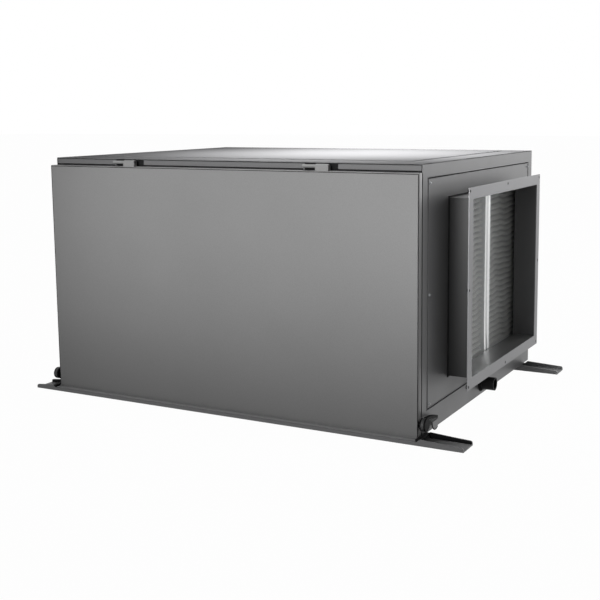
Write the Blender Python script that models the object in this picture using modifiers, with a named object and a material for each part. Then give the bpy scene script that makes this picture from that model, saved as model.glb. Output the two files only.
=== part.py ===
"""Ducted air dryer: a sheet-steel cabinet on two rails, with a top-hung front door and side duct collars.

Behind the door are two filters, a finned evaporator and condenser, a compressor and a centrifugal blower.
"""
import math

import bmesh
import bpy
from mathutils import Matrix, Vector

# Driving sizes in metres. X runs left to right, the door faces -Y, Z is up.
CABINET_WIDTH = 1.156
SHEET = 0.0015
SEAT_GAP = 0.0003
RUN_GAP = 0.0055
CUT_THROUGH = 0.009

RAIL_LEFT_REACH = 0.075
RAIL_RIGHT_REACH = 0.127
RAIL_WIDTH = 0.066
RAIL_HEIGHT = 0.010
RAIL_SHEET = 0.003
RAIL_END_HEIGHT = 0.0170
RAIL_TIP_HEIGHT = 0.0115
RAIL_FRONT_REACH = 0.045
RAIL_BACK_INSET = 0.0445
RAIL_TIP_RADIUS = 0.006

HEADER_HEIGHT = 0.021
SILL_HEIGHT = 0.052
POST_WIDTH = 0.032
BACK_POST_WIDTH = 0.037
SIDE_TOP_STRIP = 0.0345
SIDE_BOTTOM_STRIP = 0.059
FRAME_RETURN = 0.028
HEADER_LEDGE = 0.020
PANEL_GAP = 0.0035
PANEL_CORNER = 0.006
GASKET_WIDTH = 0.014
GASKET_THICKNESS = 0.003
TOP_EDGE = 0.075
TOP_FRONT_EDGE = 0.110
TOP_COVER_RISE = 0.0012

DOOR_THICKNESS = 0.0205
DOOR_EDGE_RADIUS = 0.003
DOOR_LINER = 0.012

COLLAR_WIDTH = 0.560
COLLAR_HEIGHT = 0.466
COLLAR_DEPTH = 0.066
DUCT_FRONT_MARGIN = 0.144
DUCT_BACK_MARGIN = 0.123
DUCT_BOTTOM_MARGIN = 0.059
DUCT_TOP_MARGIN = 0.0615
COLLAR_SHEET = 0.002
FLANGE_WIDTH = 0.030
FLANGE_HOLE_RADIUS = 0.004
FLANGE_HOLE_EDGE = 0.0085

FILTER_FACE_INSET = 0.004
FILTER_DEPTH = 0.046
FILTER_SHIFT = 0.040
FILTER_LAP = 0.010
FILTER_OVERLAP = 0.022
FILTER_BORDER = 0.020
PLEAT_PITCH = 0.017
PLEAT_DEPTH = 0.030
PLEAT_SHEET = 0.0012
TRACK_LIP = 0.012
TRACK_SPARE = 0.010

HINGE_RADIUS = 0.0045
HINGE_LENGTH = 0.038
HINGE_AXIS_OUT = 0.0145
HINGE_AXIS_RISE = 0.0115
HINGE_PIN_RADIUS = 0.0025
HINGE_PIN_GAP = 0.0004
HINGE_LEFT_X = -0.318
HINGE_RIGHT_X = 0.292
HINGE_BLOCK_RADIUS = 0.006
HINGE_NOTCH_SPARE = 0.010
HINGE_NOTCH_TOP = 0.004
HINGE_PLATE = 0.002
HINGE_PLATE_LAP = 0.005

KNOB_RADIUS = 0.0165
KNOB_LENGTH = 0.015
KNOB_OUT = 0.0145
KNOB_RISE = 0.036
LATCH_PIN_RADIUS = 0.003
LATCH_PIN_GAP = 0.0004
LATCH_BOSS_RADIUS = 0.0075
LATCH_ARM_REACH = 0.080
LATCH_ARM_WIDTH = 0.009
LATCH_ARM_SHEET = 0.007
LATCH_ARM_RADIUS = 0.270
KEEPER_FRONT = 0.041
KEEPER_WIDTH = 0.044
KEEPER_TOP = 0.027
KEEPER_DROP = 0.023
KEEPER_STANDOFF = 0.012
KEEPER_SHEET = 0.002

SPIGOT_RADIUS = 0.0185
SPIGOT_BORE = 0.0100
SPIGOT_LENGTH = 0.042
SPIGOT_CUP_RADIUS = 0.0145
SPIGOT_CUP_DEPTH = 0.024
SPIGOT_NUT_RADIUS = 0.0225
SPIGOT_NUT_LENGTH = 0.008
SPIGOT_BACK = 0.440
SPIGOT_RISE = 0.0335
SPIGOT_TAIL_RADIUS = 0.0125

TRAY_HEIGHT = 0.046
TRAY_LAP = 0.014
TRAY_FRONT = 0.018
TRAY_BACK = 0.012
COIL_DEPTH = 0.060
COIL_SPACING = 0.040
COIL_FILTER_GAP = 0.068
COIL_FRONT = 0.075
COIL_BACK = 0.045
COIL_HEADROOM = 0.045
COIL_PLATE = 0.0016
COIL_PLATE_LAP = 0.006
TUBE_RADIUS = 0.0048
TUBE_PITCH = 0.050
TUBE_BEND = 0.0125
TUBE_STRAIGHT = 0.004
TUBE_COLUMN = 0.014
TUBE_MARGIN = 0.030
MANIFOLD_RADIUS = 0.008
MANIFOLD_BEND = 0.018
MANIFOLD_OUT = 0.040
MANIFOLD_LENGTH = 0.340
EVAPORATOR_MANIFOLD_DROP = 0.045

COMPRESSOR_RADIUS = 0.082
COMPRESSOR_HEIGHT = 0.300
COMPRESSOR_DOME = 0.042
COMPRESSOR_BAND = 0.0035
COMPRESSOR_BAND_HEIGHT = 0.012
COMPRESSOR_BAND_RISE = 0.190
COMPRESSOR_CLEARANCE = 0.130
COMPRESSOR_FRONT = 0.150
COMPRESSOR_FOOT = 0.078
COMPRESSOR_FOOT_SHEET = 0.004
COMPRESSOR_FOOT_CORNER = 0.018
GROMMET_RADIUS = 0.012
GROMMET_HEIGHT = 0.018
STUB_SPREAD = 0.035
STUB_LENGTH = 0.015
TERMINAL_WIDTH = 0.060
TERMINAL_HEIGHT = 0.075
TERMINAL_DEPTH = 0.030
TERMINAL_RISE = 0.150
PIPE_RADIUS = 0.0065
PIPE_BEND = 0.024
PIPE_DROP = 0.055
DISCHARGE_RISE = 0.044

OUTLET_SPACE = 0.058
WHEEL_RADIUS = 0.140
WHEEL_BORE = 0.118
WHEEL_RIM = 0.002
WHEEL_RING = 0.006
WHEEL_DISC = 0.002
BLADE_COUNT = 32
BLADE_SHEET = 0.0014
BLADE_HALF_ANGLE = 58
HUB_RADIUS = 0.022
HUB_LENGTH = 0.034
SHAFT_RADIUS = 0.008
TIP_CLEARANCE = 0.012
SCROLL_GROWTH = 0.093
SCROLL_STEPS = 36
TONGUE_ANGLE = 140
SCROLL_END_ANGLE = 450
BLOWER_REACH = 0.235
BLOWER_WIDTH = 0.240
BLOWER_FOOT = 0.025
BLOWER_FOOT_WIDTH = 0.024
BLOWER_FOOT_SPREAD = 0.075
INLET_RIM = 0.136
INLET_MOUTH = 0.126
INLET_THROAT = 0.112
INLET_LENGTH = 0.022
INLET_SHEET = 0.0018
WHEEL_FRONT_GAP = 0.020
WHEEL_BACK_GAP = 0.016
GUARD_RINGS = 4
GUARD_WIRE = 0.003
GUARD_SPOKE = 0.005
MOTOR_RADIUS = 0.056
MOTOR_LENGTH = 0.120
MOTOR_BELL = 0.014
MOTOR_FLANGE = 0.078
MOTOR_FLANGE_SHEET = 0.006

CONTROL_WIDTH = 0.270
CONTROL_DEPTH = 0.110
CONTROL_HEIGHT = 0.200
CONTROL_FRONT = 0.034
CONTROL_HEADROOM = 0.050
CONTROL_LID = 0.014

# Sizes and planes worked out from the driving sizes.
CABINET_DEPTH = POST_WIDTH + DUCT_FRONT_MARGIN + COLLAR_WIDTH + DUCT_BACK_MARGIN + BACK_POST_WIDTH
CABINET_HEIGHT = SIDE_BOTTOM_STRIP + DUCT_BOTTOM_MARGIN + COLLAR_HEIGHT + DUCT_TOP_MARGIN + SIDE_TOP_STRIP
FRONT = -(CABINET_DEPTH - RAIL_FRONT_REACH) / 2
BACK = FRONT + CABINET_DEPTH
BASE = RAIL_HEIGHT + SEAT_GAP
TOP = RAIL_HEIGHT + CABINET_HEIGHT
SIDE = CABINET_WIDTH / 2
DOOR_BACK = FRONT - RUN_GAP
DOOR_FRONT = DOOR_BACK - DOOR_THICKNESS
DOOR_BOTTOM = RAIL_HEIGHT + RUN_GAP
DOOR_TOP = TOP - HEADER_HEIGHT
HINGE_Y = FRONT - HINGE_AXIS_OUT
HINGE_Z = DOOR_TOP + HINGE_AXIS_RISE
COLLAR_Y0 = FRONT + POST_WIDTH + DUCT_FRONT_MARGIN
COLLAR_Y1 = COLLAR_Y0 + COLLAR_WIDTH
COLLAR_Z0 = RAIL_HEIGHT + SIDE_BOTTOM_STRIP + DUCT_BOTTOM_MARGIN
COLLAR_Z1 = COLLAR_Z0 + COLLAR_HEIGHT
FILTER_WIDTH = COLLAR_WIDTH / 2 + FILTER_SHIFT + FILTER_LAP
FILTER_SPLIT = (COLLAR_Y0 + COLLAR_Y1) / 2 + FILTER_SHIFT
SPIGOT_Y = FRONT + SPIGOT_BACK
SPIGOT_Z = RAIL_HEIGHT + SPIGOT_RISE
FLOOR = BASE + SHEET + SEAT_GAP
EVAPORATOR_X = SIDE - FILTER_FACE_INSET - FILTER_DEPTH - COIL_FILTER_GAP - COIL_DEPTH
CONDENSER_X = EVAPORATOR_X - COIL_SPACING - COIL_DEPTH
TRAY_END = EVAPORATOR_X + COIL_DEPTH + TRAY_LAP
COIL_BASE = FLOOR + SHEET + SEAT_GAP
COIL_TOP = TOP - COIL_HEADROOM
COIL_FACE = FRONT + COIL_FRONT
MANIFOLD_Y = COIL_FACE - MANIFOLD_OUT
EVAPORATOR_MANIFOLD_TOP = COIL_TOP - EVAPORATOR_MANIFOLD_DROP
COMPRESSOR_X = CONDENSER_X - COMPRESSOR_CLEARANCE - COMPRESSOR_RADIUS
COMPRESSOR_Y = FRONT + COMPRESSOR_FRONT
COMPRESSOR_TOP = FLOOR + GROMMET_HEIGHT + COMPRESSOR_HEIGHT
CONDENSER_MANIFOLD_TOP = COMPRESSOR_TOP + STUB_LENGTH + DISCHARGE_RISE + PIPE_DROP
BLOWER_PLATE_X = OUTLET_SPACE - SIDE
BLOWER_X = BLOWER_PLATE_X + SHEET + SEAT_GAP + BLOWER_REACH
BLOWER_Y = (COLLAR_Y0 + COLLAR_Y1) / 2
BLOWER_Y0 = BLOWER_Y - BLOWER_WIDTH / 2
BLOWER_Y1 = BLOWER_Y + BLOWER_WIDTH / 2
SCROLL_START = WHEEL_RADIUS + WHEEL_RIM + TIP_CLEARANCE
SCROLL_END = SCROLL_START + SCROLL_GROWTH


def clear_scene():
    """Remove every object that the scene starts with."""
    for item in list(bpy.data.objects):
        bpy.data.objects.remove(item, do_unlink=True)


def new_collection(name):
    """Make a collection under the scene's own."""
    collection = bpy.data.collections.new(name)
    bpy.context.scene.collection.children.link(collection)
    return collection


def finish(name, colour, roughness, metallic):
    """A plain surface for one sub-part."""
    material = bpy.data.materials.new(name)
    material.use_nodes = True
    shader = material.node_tree.nodes["Principled BSDF"]
    shader.inputs["Base Color"].default_value = (*colour, 1.0)
    shader.inputs["Roughness"].default_value = roughness
    shader.inputs["Metallic"].default_value = metallic
    return material


def put_in(item, collection):
    """Move an object into one collection only."""
    for owner in list(item.users_collection):
        owner.objects.unlink(item)
    collection.objects.link(item)


def place(item, name, material):
    """Name a sub-part, give it its finish and file it with the parts."""
    item.name = name
    item.data.name = name
    item.data.materials.clear()
    item.data.materials.append(material)
    put_in(item, PARTS)
    return item


def hide_as_cutter(item):
    """File an object that only cuts."""
    item.hide_render = True
    item.display_type = "WIRE"
    put_in(item, CUTTERS)
    return item


def block(low, high):
    """A box between two corners, with its scale applied."""
    low = Vector(low)
    high = Vector(high)
    bpy.ops.mesh.primitive_cube_add(size=1.0)
    item = bpy.context.object
    item.data.transform(Matrix.Diagonal((*(high - low), 1.0)))
    item.data.transform(Matrix.Translation((low + high) / 2))
    return item


def rod(centre, axis, radius, length, sides=32):
    """A cylinder along X, Y or Z, centred on a point."""
    quarter = math.pi / 2
    turns = {"X": Matrix.Rotation(quarter, 4, "Y"), "Y": Matrix.Rotation(quarter, 4, "X"), "Z": Matrix()}
    bpy.ops.mesh.primitive_cylinder_add(vertices=sides, radius=radius, depth=length)
    item = bpy.context.object
    item.data.transform(Matrix.Translation(centre) @ turns[axis])
    return item


def pan(low, high, open_face, wall):
    """A folded tray between two corners, open on one face, with its sheet inside that box."""
    item = block(low, high)
    direction = Vector(open_face)
    mesh = bmesh.new()
    mesh.from_mesh(item.data)
    mesh.normal_update()
    open_side = [face for face in mesh.faces if face.normal.dot(direction) > 0.9]
    bmesh.ops.delete(mesh, geom=open_side, context="FACES")
    mesh.to_mesh(item.data)
    mesh.free()
    sheet = item.modifiers.new("Sheet", "SOLIDIFY")
    sheet.thickness = wall
    sheet.offset = -1.0
    sheet.use_even_offset = True
    return item


def solid_from(curve, frame):
    """The closed mesh that a curve makes, moved by a frame."""
    guide = bpy.data.objects.new("outline", curve)
    CUTTERS.objects.link(guide)
    bpy.context.view_layer.update()
    graph = bpy.context.evaluated_depsgraph_get()
    mesh = bpy.data.meshes.new_from_object(guide.evaluated_get(graph))
    bpy.data.objects.remove(guide, do_unlink=True)
    mesh.transform(frame)
    work = bmesh.new()
    work.from_mesh(mesh)
    bmesh.ops.remove_doubles(work, verts=work.verts, dist=0.00001)
    bmesh.ops.recalc_face_normals(work, faces=work.faces)
    work.to_mesh(mesh)
    work.free()
    item = bpy.data.objects.new("solid", mesh)
    PARTS.objects.link(item)
    return item


def extrusions(outlines, start, length, axis):
    """Flat outlines swept straight along X, Y or Z from a start plane; an outline inside another is a hole.

    Along X the outlines hold (y, z), along Y (x, z), and along Z (x, y).
    """
    curve = bpy.data.curves.new("outline", "CURVE")
    curve.dimensions = "2D"
    curve.fill_mode = "BOTH"
    curve.extrude = length / 2
    for outline in outlines:
        spline = curve.splines.new("POLY")
        spline.points.add(len(outline) - 1)
        for point, (u, v) in zip(spline.points, outline):
            point.co = (u, v, 0.0, 1.0)
        spline.use_cyclic_u = True
    middle = start + length / 2
    frames = {
        "X": Matrix(((0, 0, 1, middle), (1, 0, 0, 0), (0, 1, 0, 0), (0, 0, 0, 1))),
        "Y": Matrix(((1, 0, 0, 0), (0, 0, -1, middle), (0, 1, 0, 0), (0, 0, 0, 1))),
        "Z": Matrix(((1, 0, 0, 0), (0, 1, 0, 0), (0, 0, 1, middle), (0, 0, 0, 1))),
    }
    return solid_from(curve, frames[axis])


def extrusion(outline, start, length, axis):
    """One flat outline swept straight from a start plane."""
    return extrusions([outline], start, length, axis)


def tubes(routes, radius):
    """Round tubes with closed ends along routes of points."""
    curve = bpy.data.curves.new("tube", "CURVE")
    curve.dimensions = "3D"
    curve.bevel_depth = radius
    curve.bevel_resolution = 2
    curve.use_fill_caps = True
    for route in routes:
        spline = curve.splines.new("POLY")
        spline.points.add(len(route) - 1)
        for point, corner in zip(spline.points, route):
            point.co = (*corner, 1.0)
    return solid_from(curve, Matrix())


def turned(profile, centre, axis, steps=32):
    """A profile of (radius, height) spun about an upright axis, or about Y with its height along +Y."""
    closed = profile[0][0] > 0.0
    edges = [(index, index + 1) for index in range(len(profile) - 1)]
    if closed:
        edges.append((len(profile) - 1, 0))
    mesh = bpy.data.meshes.new("profile")
    mesh.from_pydata([(radius, 0.0, height) for radius, height in profile], edges, [])
    item = bpy.data.objects.new("turned", mesh)
    PARTS.objects.link(item)
    spin = item.modifiers.new("Spin", "SCREW")
    spin.axis = "Z"
    spin.steps = steps
    spin.render_steps = steps
    spin.use_merge_vertices = True
    spin.merge_threshold = 0.00005
    item.location = centre
    if axis == "Y":
        item.rotation_euler = (-math.pi / 2, 0.0, 0.0)
    bpy.context.view_layer.update()
    return item


def arc(centre, radius, start, end, steps):
    """Points along a round stretch of an outline, angles in degrees."""
    points = []
    for step in range(steps + 1):
        angle = math.radians(start + (end - start) * step / steps)
        points.append((centre[0] + radius * math.cos(angle), centre[1] + radius * math.sin(angle)))
    return points


def circle(centre, radius, sides):
    """A closed outline of equal sides round a point."""
    return arc(centre, radius, 0, 360 - 360 / sides, sides - 1)


def rounded_route(corners, radius, steps=5):
    """A route through square corners, with a round bend at each inner one."""
    points = [Vector(corners[0])]
    for before, corner, after in zip(corners, corners[1:], corners[2:]):
        corner = Vector(corner)
        back = (Vector(before) - corner).normalized()
        ahead = (Vector(after) - corner).normalized()
        centre = corner + (back + ahead) * radius
        for step in range(steps + 1):
            angle = math.pi / 2 * step / steps
            points.append(centre - radius * (ahead * math.cos(angle) + back * math.sin(angle)))
    points.append(Vector(corners[-1]))
    return points


def combine(item, other, operation):
    """Cut or join one object with another."""
    hide_as_cutter(other)
    step = item.modifiers.new(operation.title(), "BOOLEAN")
    step.operation = operation
    step.solver = "EXACT"
    step.object = other
    return item


def cut(item, other):
    """Take the other object's volume away."""
    return combine(item, other, "DIFFERENCE")


def join(item, other):
    """Add the other object's volume."""
    return combine(item, other, "UNION")


def soften(item, radius, segments=2):
    """Round the sharp edges."""
    rounding = item.modifiers.new("Rounding", "BEVEL")
    rounding.width = radius
    rounding.segments = segments
    rounding.limit_method = "ANGLE"
    rounding.angle_limit = math.radians(40)
    return item


def parent_to(item, pivot):
    """Hang a sub-part on a pivot and keep its place."""
    item.parent = pivot
    item.matrix_parent_inverse = pivot.matrix_world.inverted()


def pivot_at(name, point):
    """An empty on a joint's axis."""
    pivot = bpy.data.objects.new(name, None)
    pivot.location = point
    pivot.empty_display_size = 0.05
    PARTS.objects.link(pivot)
    bpy.context.view_layer.update()
    return pivot


def rounded_rectangle(u0, u1, v0, v1, radius, steps=4):
    """The outline of a rectangle with round corners."""
    outline = arc((u1 - radius, v1 - radius), radius, 0, 90, steps)
    outline += arc((u0 + radius, v1 - radius), radius, 90, 180, steps)
    outline += arc((u0 + radius, v0 + radius), radius, 180, 270, steps)
    outline += arc((u1 - radius, v0 + radius), radius, 270, 360, steps)
    return outline


def rail_outline():
    """A rail seen from the front: low under the cabinet, higher beside it, and tapering to its tips."""
    outline = []
    for sign, reach in ((1, RAIL_RIGHT_REACH), (-1, RAIL_LEFT_REACH)):
        step = SIDE + RUN_GAP
        tip = SIDE + reach
        rounding = arc((tip - RAIL_TIP_RADIUS, RAIL_TIP_HEIGHT - RAIL_TIP_RADIUS), RAIL_TIP_RADIUS, 0, 80, 4)
        half = [(tip, 0.0)] + rounding
        half += [(step + RAIL_END_HEIGHT - RAIL_HEIGHT, RAIL_END_HEIGHT), (step, RAIL_HEIGHT)]
        half = [(sign * x, z) for x, z in half]
        outline += half if sign > 0 else reversed(half)
    return outline


def rail(name, front):
    """A steel channel open above at its ends, closed by a cap strip where the cabinet stands on it."""
    left = -SIDE - RAIL_LEFT_REACH
    right = SIDE + RAIL_RIGHT_REACH
    near = front + RAIL_SHEET
    far = front + RAIL_WIDTH - RAIL_SHEET
    channel = extrusion(rail_outline(), front, RAIL_WIDTH, "Y")
    tunnel = block((left - RAIL_SHEET, near, RAIL_SHEET), (right + RAIL_SHEET, far, RAIL_HEIGHT - RAIL_SHEET))
    cut(channel, tunnel)
    for low_x, high_x in ((left - RAIL_SHEET, -SIDE), (SIDE, right + RAIL_SHEET)):
        cut(channel, block((low_x, near, RAIL_SHEET), (high_x, far, 2 * RAIL_END_HEIGHT)))
    return place(channel, name, RAIL_STEEL)


def base_tray():
    """The cabinet's floor, a pan between the side frames with its edges turned up."""
    reach = SIDE - FRAME_RETURN - SEAT_GAP
    tray = pan((-reach, FRONT, BASE), (reach, BACK - SHEET - SEAT_GAP, BASE + SILL_HEIGHT), (0, 0, 1), SHEET)
    cut(tray, drain_hole(reach))
    return place(tray, "base_tray", CABINET_STEEL)


def drain_hole(x):
    """The cutter for the drain's way through one upright sheet."""
    return rod((x, SPIGOT_Y, SPIGOT_Z), "X", SPIGOT_TAIL_RADIUS + SEAT_GAP, CUT_THROUGH, sides=24)


def top_panel():
    """The roof sheet."""
    roof = block((-SIDE, FRONT, TOP - SHEET), (SIDE, BACK, TOP))
    soften(roof, SHEET / 3)
    return place(roof, "top_panel", CABINET_STEEL)


def top_cover():
    """The lift-off cover plate on the roof."""
    low = (-SIDE + TOP_EDGE, FRONT + TOP_FRONT_EDGE, TOP + SEAT_GAP)
    high = (SIDE - TOP_EDGE, BACK - TOP_EDGE, TOP + SEAT_GAP + TOP_COVER_RISE)
    return place(block(low, high), "top_cover", CABINET_STEEL)


def header():
    """The strip above the door, folded in at the bottom, with a notch for each hinge."""
    reach = SIDE - SHEET - SEAT_GAP
    top = TOP - SHEET - SEAT_GAP
    outline = [
        (FRONT, DOOR_TOP), (FRONT + HEADER_LEDGE, DOOR_TOP), (FRONT + HEADER_LEDGE, DOOR_TOP + SHEET),
        (FRONT + SHEET, DOOR_TOP + SHEET), (FRONT + SHEET, top), (FRONT, top),
    ]
    strip = extrusion(outline, -reach, 2 * reach, "X")
    for middle in (HINGE_LEFT_X, HINGE_RIGHT_X):
        low = (middle - HINGE_LENGTH - SHEET, FRONT - SHEET, DOOR_TOP + SHEET + SEAT_GAP)
        high = (middle + HINGE_LENGTH + HINGE_NOTCH_SPARE, FRONT + 2 * SHEET, TOP - HINGE_NOTCH_TOP)
        cut(strip, block(low, high))
    return place(strip, "header", CABINET_STEEL)


def side_frame(name, sign):
    """One side of the cabinet, a tray with the service opening cut out of its face."""
    face = sign * SIDE
    inner = sign * (SIDE - FRAME_RETURN)
    low_x = min(face, inner)
    high_x = max(face, inner)
    tray = pan((low_x, FRONT, BASE), (high_x, BACK, TOP - SHEET - SEAT_GAP), (-sign, 0, 0), SHEET)
    outline = rounded_rectangle(FRONT + POST_WIDTH, BACK - BACK_POST_WIDTH, RAIL_HEIGHT + SIDE_BOTTOM_STRIP,
                                TOP - SIDE_TOP_STRIP, PANEL_CORNER)
    cut(tray, extrusion(outline, low_x + SHEET if sign > 0 else face - SHEET, FRAME_RETURN, "X"))
    relief_low = (inner - SHEET if sign > 0 else face + SHEET, FRONT - SHEET, DOOR_TOP - SEAT_GAP)
    relief_high = (face - SHEET if sign > 0 else inner + SHEET, FRONT + HEADER_LEDGE + SEAT_GAP, TOP)
    cut(tray, block(relief_low, relief_high))
    if sign > 0:
        cut(tray, drain_hole(SIDE))
    return place(tray, name, CABINET_STEEL)


def side_panel(name, sign):
    """The removable service panel with the duct opening through it."""
    start = SIDE - SHEET if sign > 0 else -SIDE
    outline = rounded_rectangle(
        FRONT + POST_WIDTH + PANEL_GAP, BACK - BACK_POST_WIDTH - PANEL_GAP,
        RAIL_HEIGHT + SIDE_BOTTOM_STRIP + PANEL_GAP, TOP - SIDE_TOP_STRIP - PANEL_GAP,
        PANEL_CORNER - PANEL_GAP)
    sheet = extrusion(outline, start, SHEET, "X")
    low = (start - SHEET, COLLAR_Y0, COLLAR_Z0)
    high = (start + 2 * SHEET, COLLAR_Y1, COLLAR_Z1)
    cut(sheet, block(low, high))
    return place(sheet, name, CABINET_STEEL)


def panel_gasket(name, sign):
    """The rubber strip behind the panel's joint, which both the frame and the panel lie on."""
    outer = SIDE - SHEET - SEAT_GAP
    start = outer - GASKET_THICKNESS if sign > 0 else -outer
    low_y = FRONT + POST_WIDTH
    high_y = BACK - BACK_POST_WIDTH
    low_z = RAIL_HEIGHT + SIDE_BOTTOM_STRIP
    high_z = TOP - SIDE_TOP_STRIP
    half = GASKET_WIDTH / 2
    outside = rounded_rectangle(low_y - half, high_y + half, low_z - half, high_z + half, PANEL_CORNER)
    ring = extrusion(outside, start, GASKET_THICKNESS, "X")
    hole = rounded_rectangle(low_y + half, high_y - half, low_z + half, high_z - half, PANEL_CORNER)
    cut(ring, extrusion(hole, start - GASKET_THICKNESS, 3 * GASKET_THICKNESS, "X"))
    return place(ring, name, BLACK_RUBBER)


def flange_holes():
    """Places of the eight duct screws, as (y, z)."""
    out = FLANGE_WIDTH - FLANGE_HOLE_EDGE
    outer_y = (COLLAR_Y0 - out, COLLAR_Y1 + out)
    outer_z = (COLLAR_Z0 - out, COLLAR_Z1 + out)
    middle_y = (COLLAR_Y0 + COLLAR_Y1) / 2
    middle_z = (COLLAR_Z0 + COLLAR_Z1) / 2
    places = [(y, z) for y in outer_y for z in outer_z]
    places += [(middle_y, z) for z in outer_z]
    places += [(y, middle_z) for y in outer_y]
    return places


def duct_collar(name, sign):
    """A square duct stub with an outward flange and eight screw holes."""
    root = SIDE + SEAT_GAP
    end = SIDE + COLLAR_DEPTH

    def across(near, far, spread, extra=0.0):
        """A block between two distances from the middle plane, spread beyond the duct's bore."""
        ends = sorted((sign * near, sign * far))
        return block((ends[0] - extra, COLLAR_Y0 - spread, COLLAR_Z0 - spread),
                     (ends[1] + extra, COLLAR_Y1 + spread, COLLAR_Z1 + spread))

    stub = across(root, end - COLLAR_SHEET / 2, COLLAR_SHEET)
    join(stub, across(end - COLLAR_SHEET, end, FLANGE_WIDTH))
    cut(stub, across(root, end, 0.0, extra=COLLAR_SHEET))
    for y, z in flange_holes():
        cut(stub, rod((sign * end, y, z), "X", FLANGE_HOLE_RADIUS, 4 * COLLAR_SHEET, sides=12))
    return place(stub, name, DARK_STEEL)


def filter_frame(name, low_y):
    """The folded metal rim of one air filter."""
    face = SIDE - FILTER_FACE_INSET
    low_z = COLLAR_Z0 - FILTER_OVERLAP
    high_z = COLLAR_Z1 + FILTER_OVERLAP
    rim = block((face - FILTER_DEPTH, low_y, low_z), (face, low_y + FILTER_WIDTH, high_z))
    window = block((face - 2 * FILTER_DEPTH, low_y + FILTER_BORDER, low_z + FILTER_BORDER),
                   (face + FILTER_DEPTH, low_y + FILTER_WIDTH - FILTER_BORDER, high_z - FILTER_BORDER))
    cut(rim, window)
    return place(rim, name, BRIGHT_STEEL)


def filter_media(name, low_y):
    """The pleated filter cloth, a zigzag sheet in its rim with its pleats lying level."""
    middle = SIDE - FILTER_FACE_INSET - FILTER_DEPTH / 2
    inset = FILTER_BORDER + SEAT_GAP
    low_z = COLLAR_Z0 - FILTER_OVERLAP + inset
    height = COLLAR_HEIGHT + 2 * (FILTER_OVERLAP - inset)
    pleats = round(height / PLEAT_PITCH)
    step = height / (2 * pleats)
    swing = PLEAT_DEPTH / 2
    thick = PLEAT_SHEET * math.hypot(step, PLEAT_DEPTH) / step / 2
    zigzag = [(middle + swing * (-1) ** (turn + 1), low_z + step * turn) for turn in range(2 * pleats + 1)]
    front = [(x + thick, z) for x, z in zigzag]
    back = [(x - thick, z) for x, z in reversed(zigzag)]
    return place(extrusion(front + back, low_y + inset, FILTER_WIDTH - 2 * inset, "Y"), name, FILTER_CLOTH)


def filter_track(name, seat_z, sign):
    """A channel that the filters slide in, open towards them and hung on the service panel."""
    outer = SIDE - SHEET - SEAT_GAP
    near = SIDE - FILTER_FACE_INSET + SEAT_GAP
    far = near - FILTER_DEPTH - 2 * SEAT_GAP
    web = seat_z + sign * SEAT_GAP
    lip = web - sign * TRACK_LIP
    outline = [
        (outer, lip), (outer, web + sign * SHEET), (far - SHEET, web + sign * SHEET), (far - SHEET, lip),
        (far, lip), (far, web), (near, web), (near, lip),
    ]
    start = FILTER_SPLIT - FILTER_WIDTH - TRACK_SPARE
    length = 2 * (FILTER_WIDTH + TRACK_SPARE)
    return place(extrusion(outline, start, length, "Y"), name, CABINET_STEEL)


def back_panel():
    """The plain sheet at the back."""
    reach = SIDE - FRAME_RETURN - SEAT_GAP
    sheet = block((-reach, BACK - SHEET, BASE), (reach, BACK, TOP - SHEET - SEAT_GAP))
    return place(sheet, "back_panel", CABINET_STEEL)


def front_door(pivot):
    """The front door, a shallow pan with a foam liner."""
    skin = pan((-SIDE, DOOR_FRONT, DOOR_BOTTOM), (SIDE, DOOR_BACK, DOOR_TOP), (0, 1, 0), SHEET)
    soften(skin, DOOR_EDGE_RADIUS, 3)
    parent_to(place(skin, "front_door", DOOR_STEEL), pivot)
    inset = DOOR_EDGE_RADIUS + SEAT_GAP
    liner = block((-SIDE + inset, DOOR_FRONT + SHEET + SEAT_GAP, DOOR_BOTTOM + inset),
                  (SIDE - inset, DOOR_FRONT + SHEET + SEAT_GAP + DOOR_LINER, DOOR_TOP - inset))
    parent_to(place(liner, "door_liner", BLACK_RUBBER), pivot)


def hinge(side, middle, pivot):
    """A lift-off hinge: a pin half on the header and a block half on the door."""
    start = middle - HINGE_LENGTH
    plate_y = FRONT + SHEET + SEAT_GAP
    low = (start - SHEET - HINGE_PLATE_LAP, plate_y, DOOR_TOP + SHEET + SEAT_GAP)
    high = (middle + HINGE_LENGTH + HINGE_NOTCH_SPARE + HINGE_PLATE_LAP, plate_y + HINGE_PLATE,
            TOP - SHEET - 2 * SEAT_GAP)
    fixed = block(low, high)
    arm = block((start, HINGE_Y, HINGE_Z - HINGE_PIN_RADIUS),
                (middle - SEAT_GAP, plate_y + HINGE_PLATE / 2, HINGE_Z + HINGE_PIN_RADIUS))
    join(fixed, arm)
    barrel_length = HINGE_LENGTH - SEAT_GAP
    barrel_centre = (start + barrel_length / 2, HINGE_Y, HINGE_Z)
    join(fixed, rod(barrel_centre, "X", HINGE_RADIUS, barrel_length, sides=24))
    pin_length = HINGE_LENGTH * 1.5
    pin_centre = (middle, HINGE_Y, HINGE_Z)
    join(fixed, rod(pin_centre, "X", HINGE_PIN_RADIUS, pin_length, sides=16))
    place(fixed, "hinge_pin_half_" + side, CABINET_STEEL)
    seat = DOOR_TOP + SEAT_GAP
    outline = [(HINGE_Y - HINGE_BLOCK_RADIUS, seat), (HINGE_Y + HINGE_BLOCK_RADIUS, seat)]
    outline += arc((HINGE_Y, HINGE_Z), HINGE_BLOCK_RADIUS, 0, 180, 12)
    leaf = extrusion(outline, middle + SEAT_GAP, HINGE_LENGTH - SEAT_GAP, "X")
    cut(leaf, rod((middle + HINGE_LENGTH / 2, HINGE_Y, HINGE_Z), "X", HINGE_PIN_RADIUS + HINGE_PIN_GAP,
                  2 * HINGE_LENGTH, sides=16))
    parent_to(place(leaf, "hinge_door_half_" + side, CABINET_STEEL), pivot)


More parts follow.
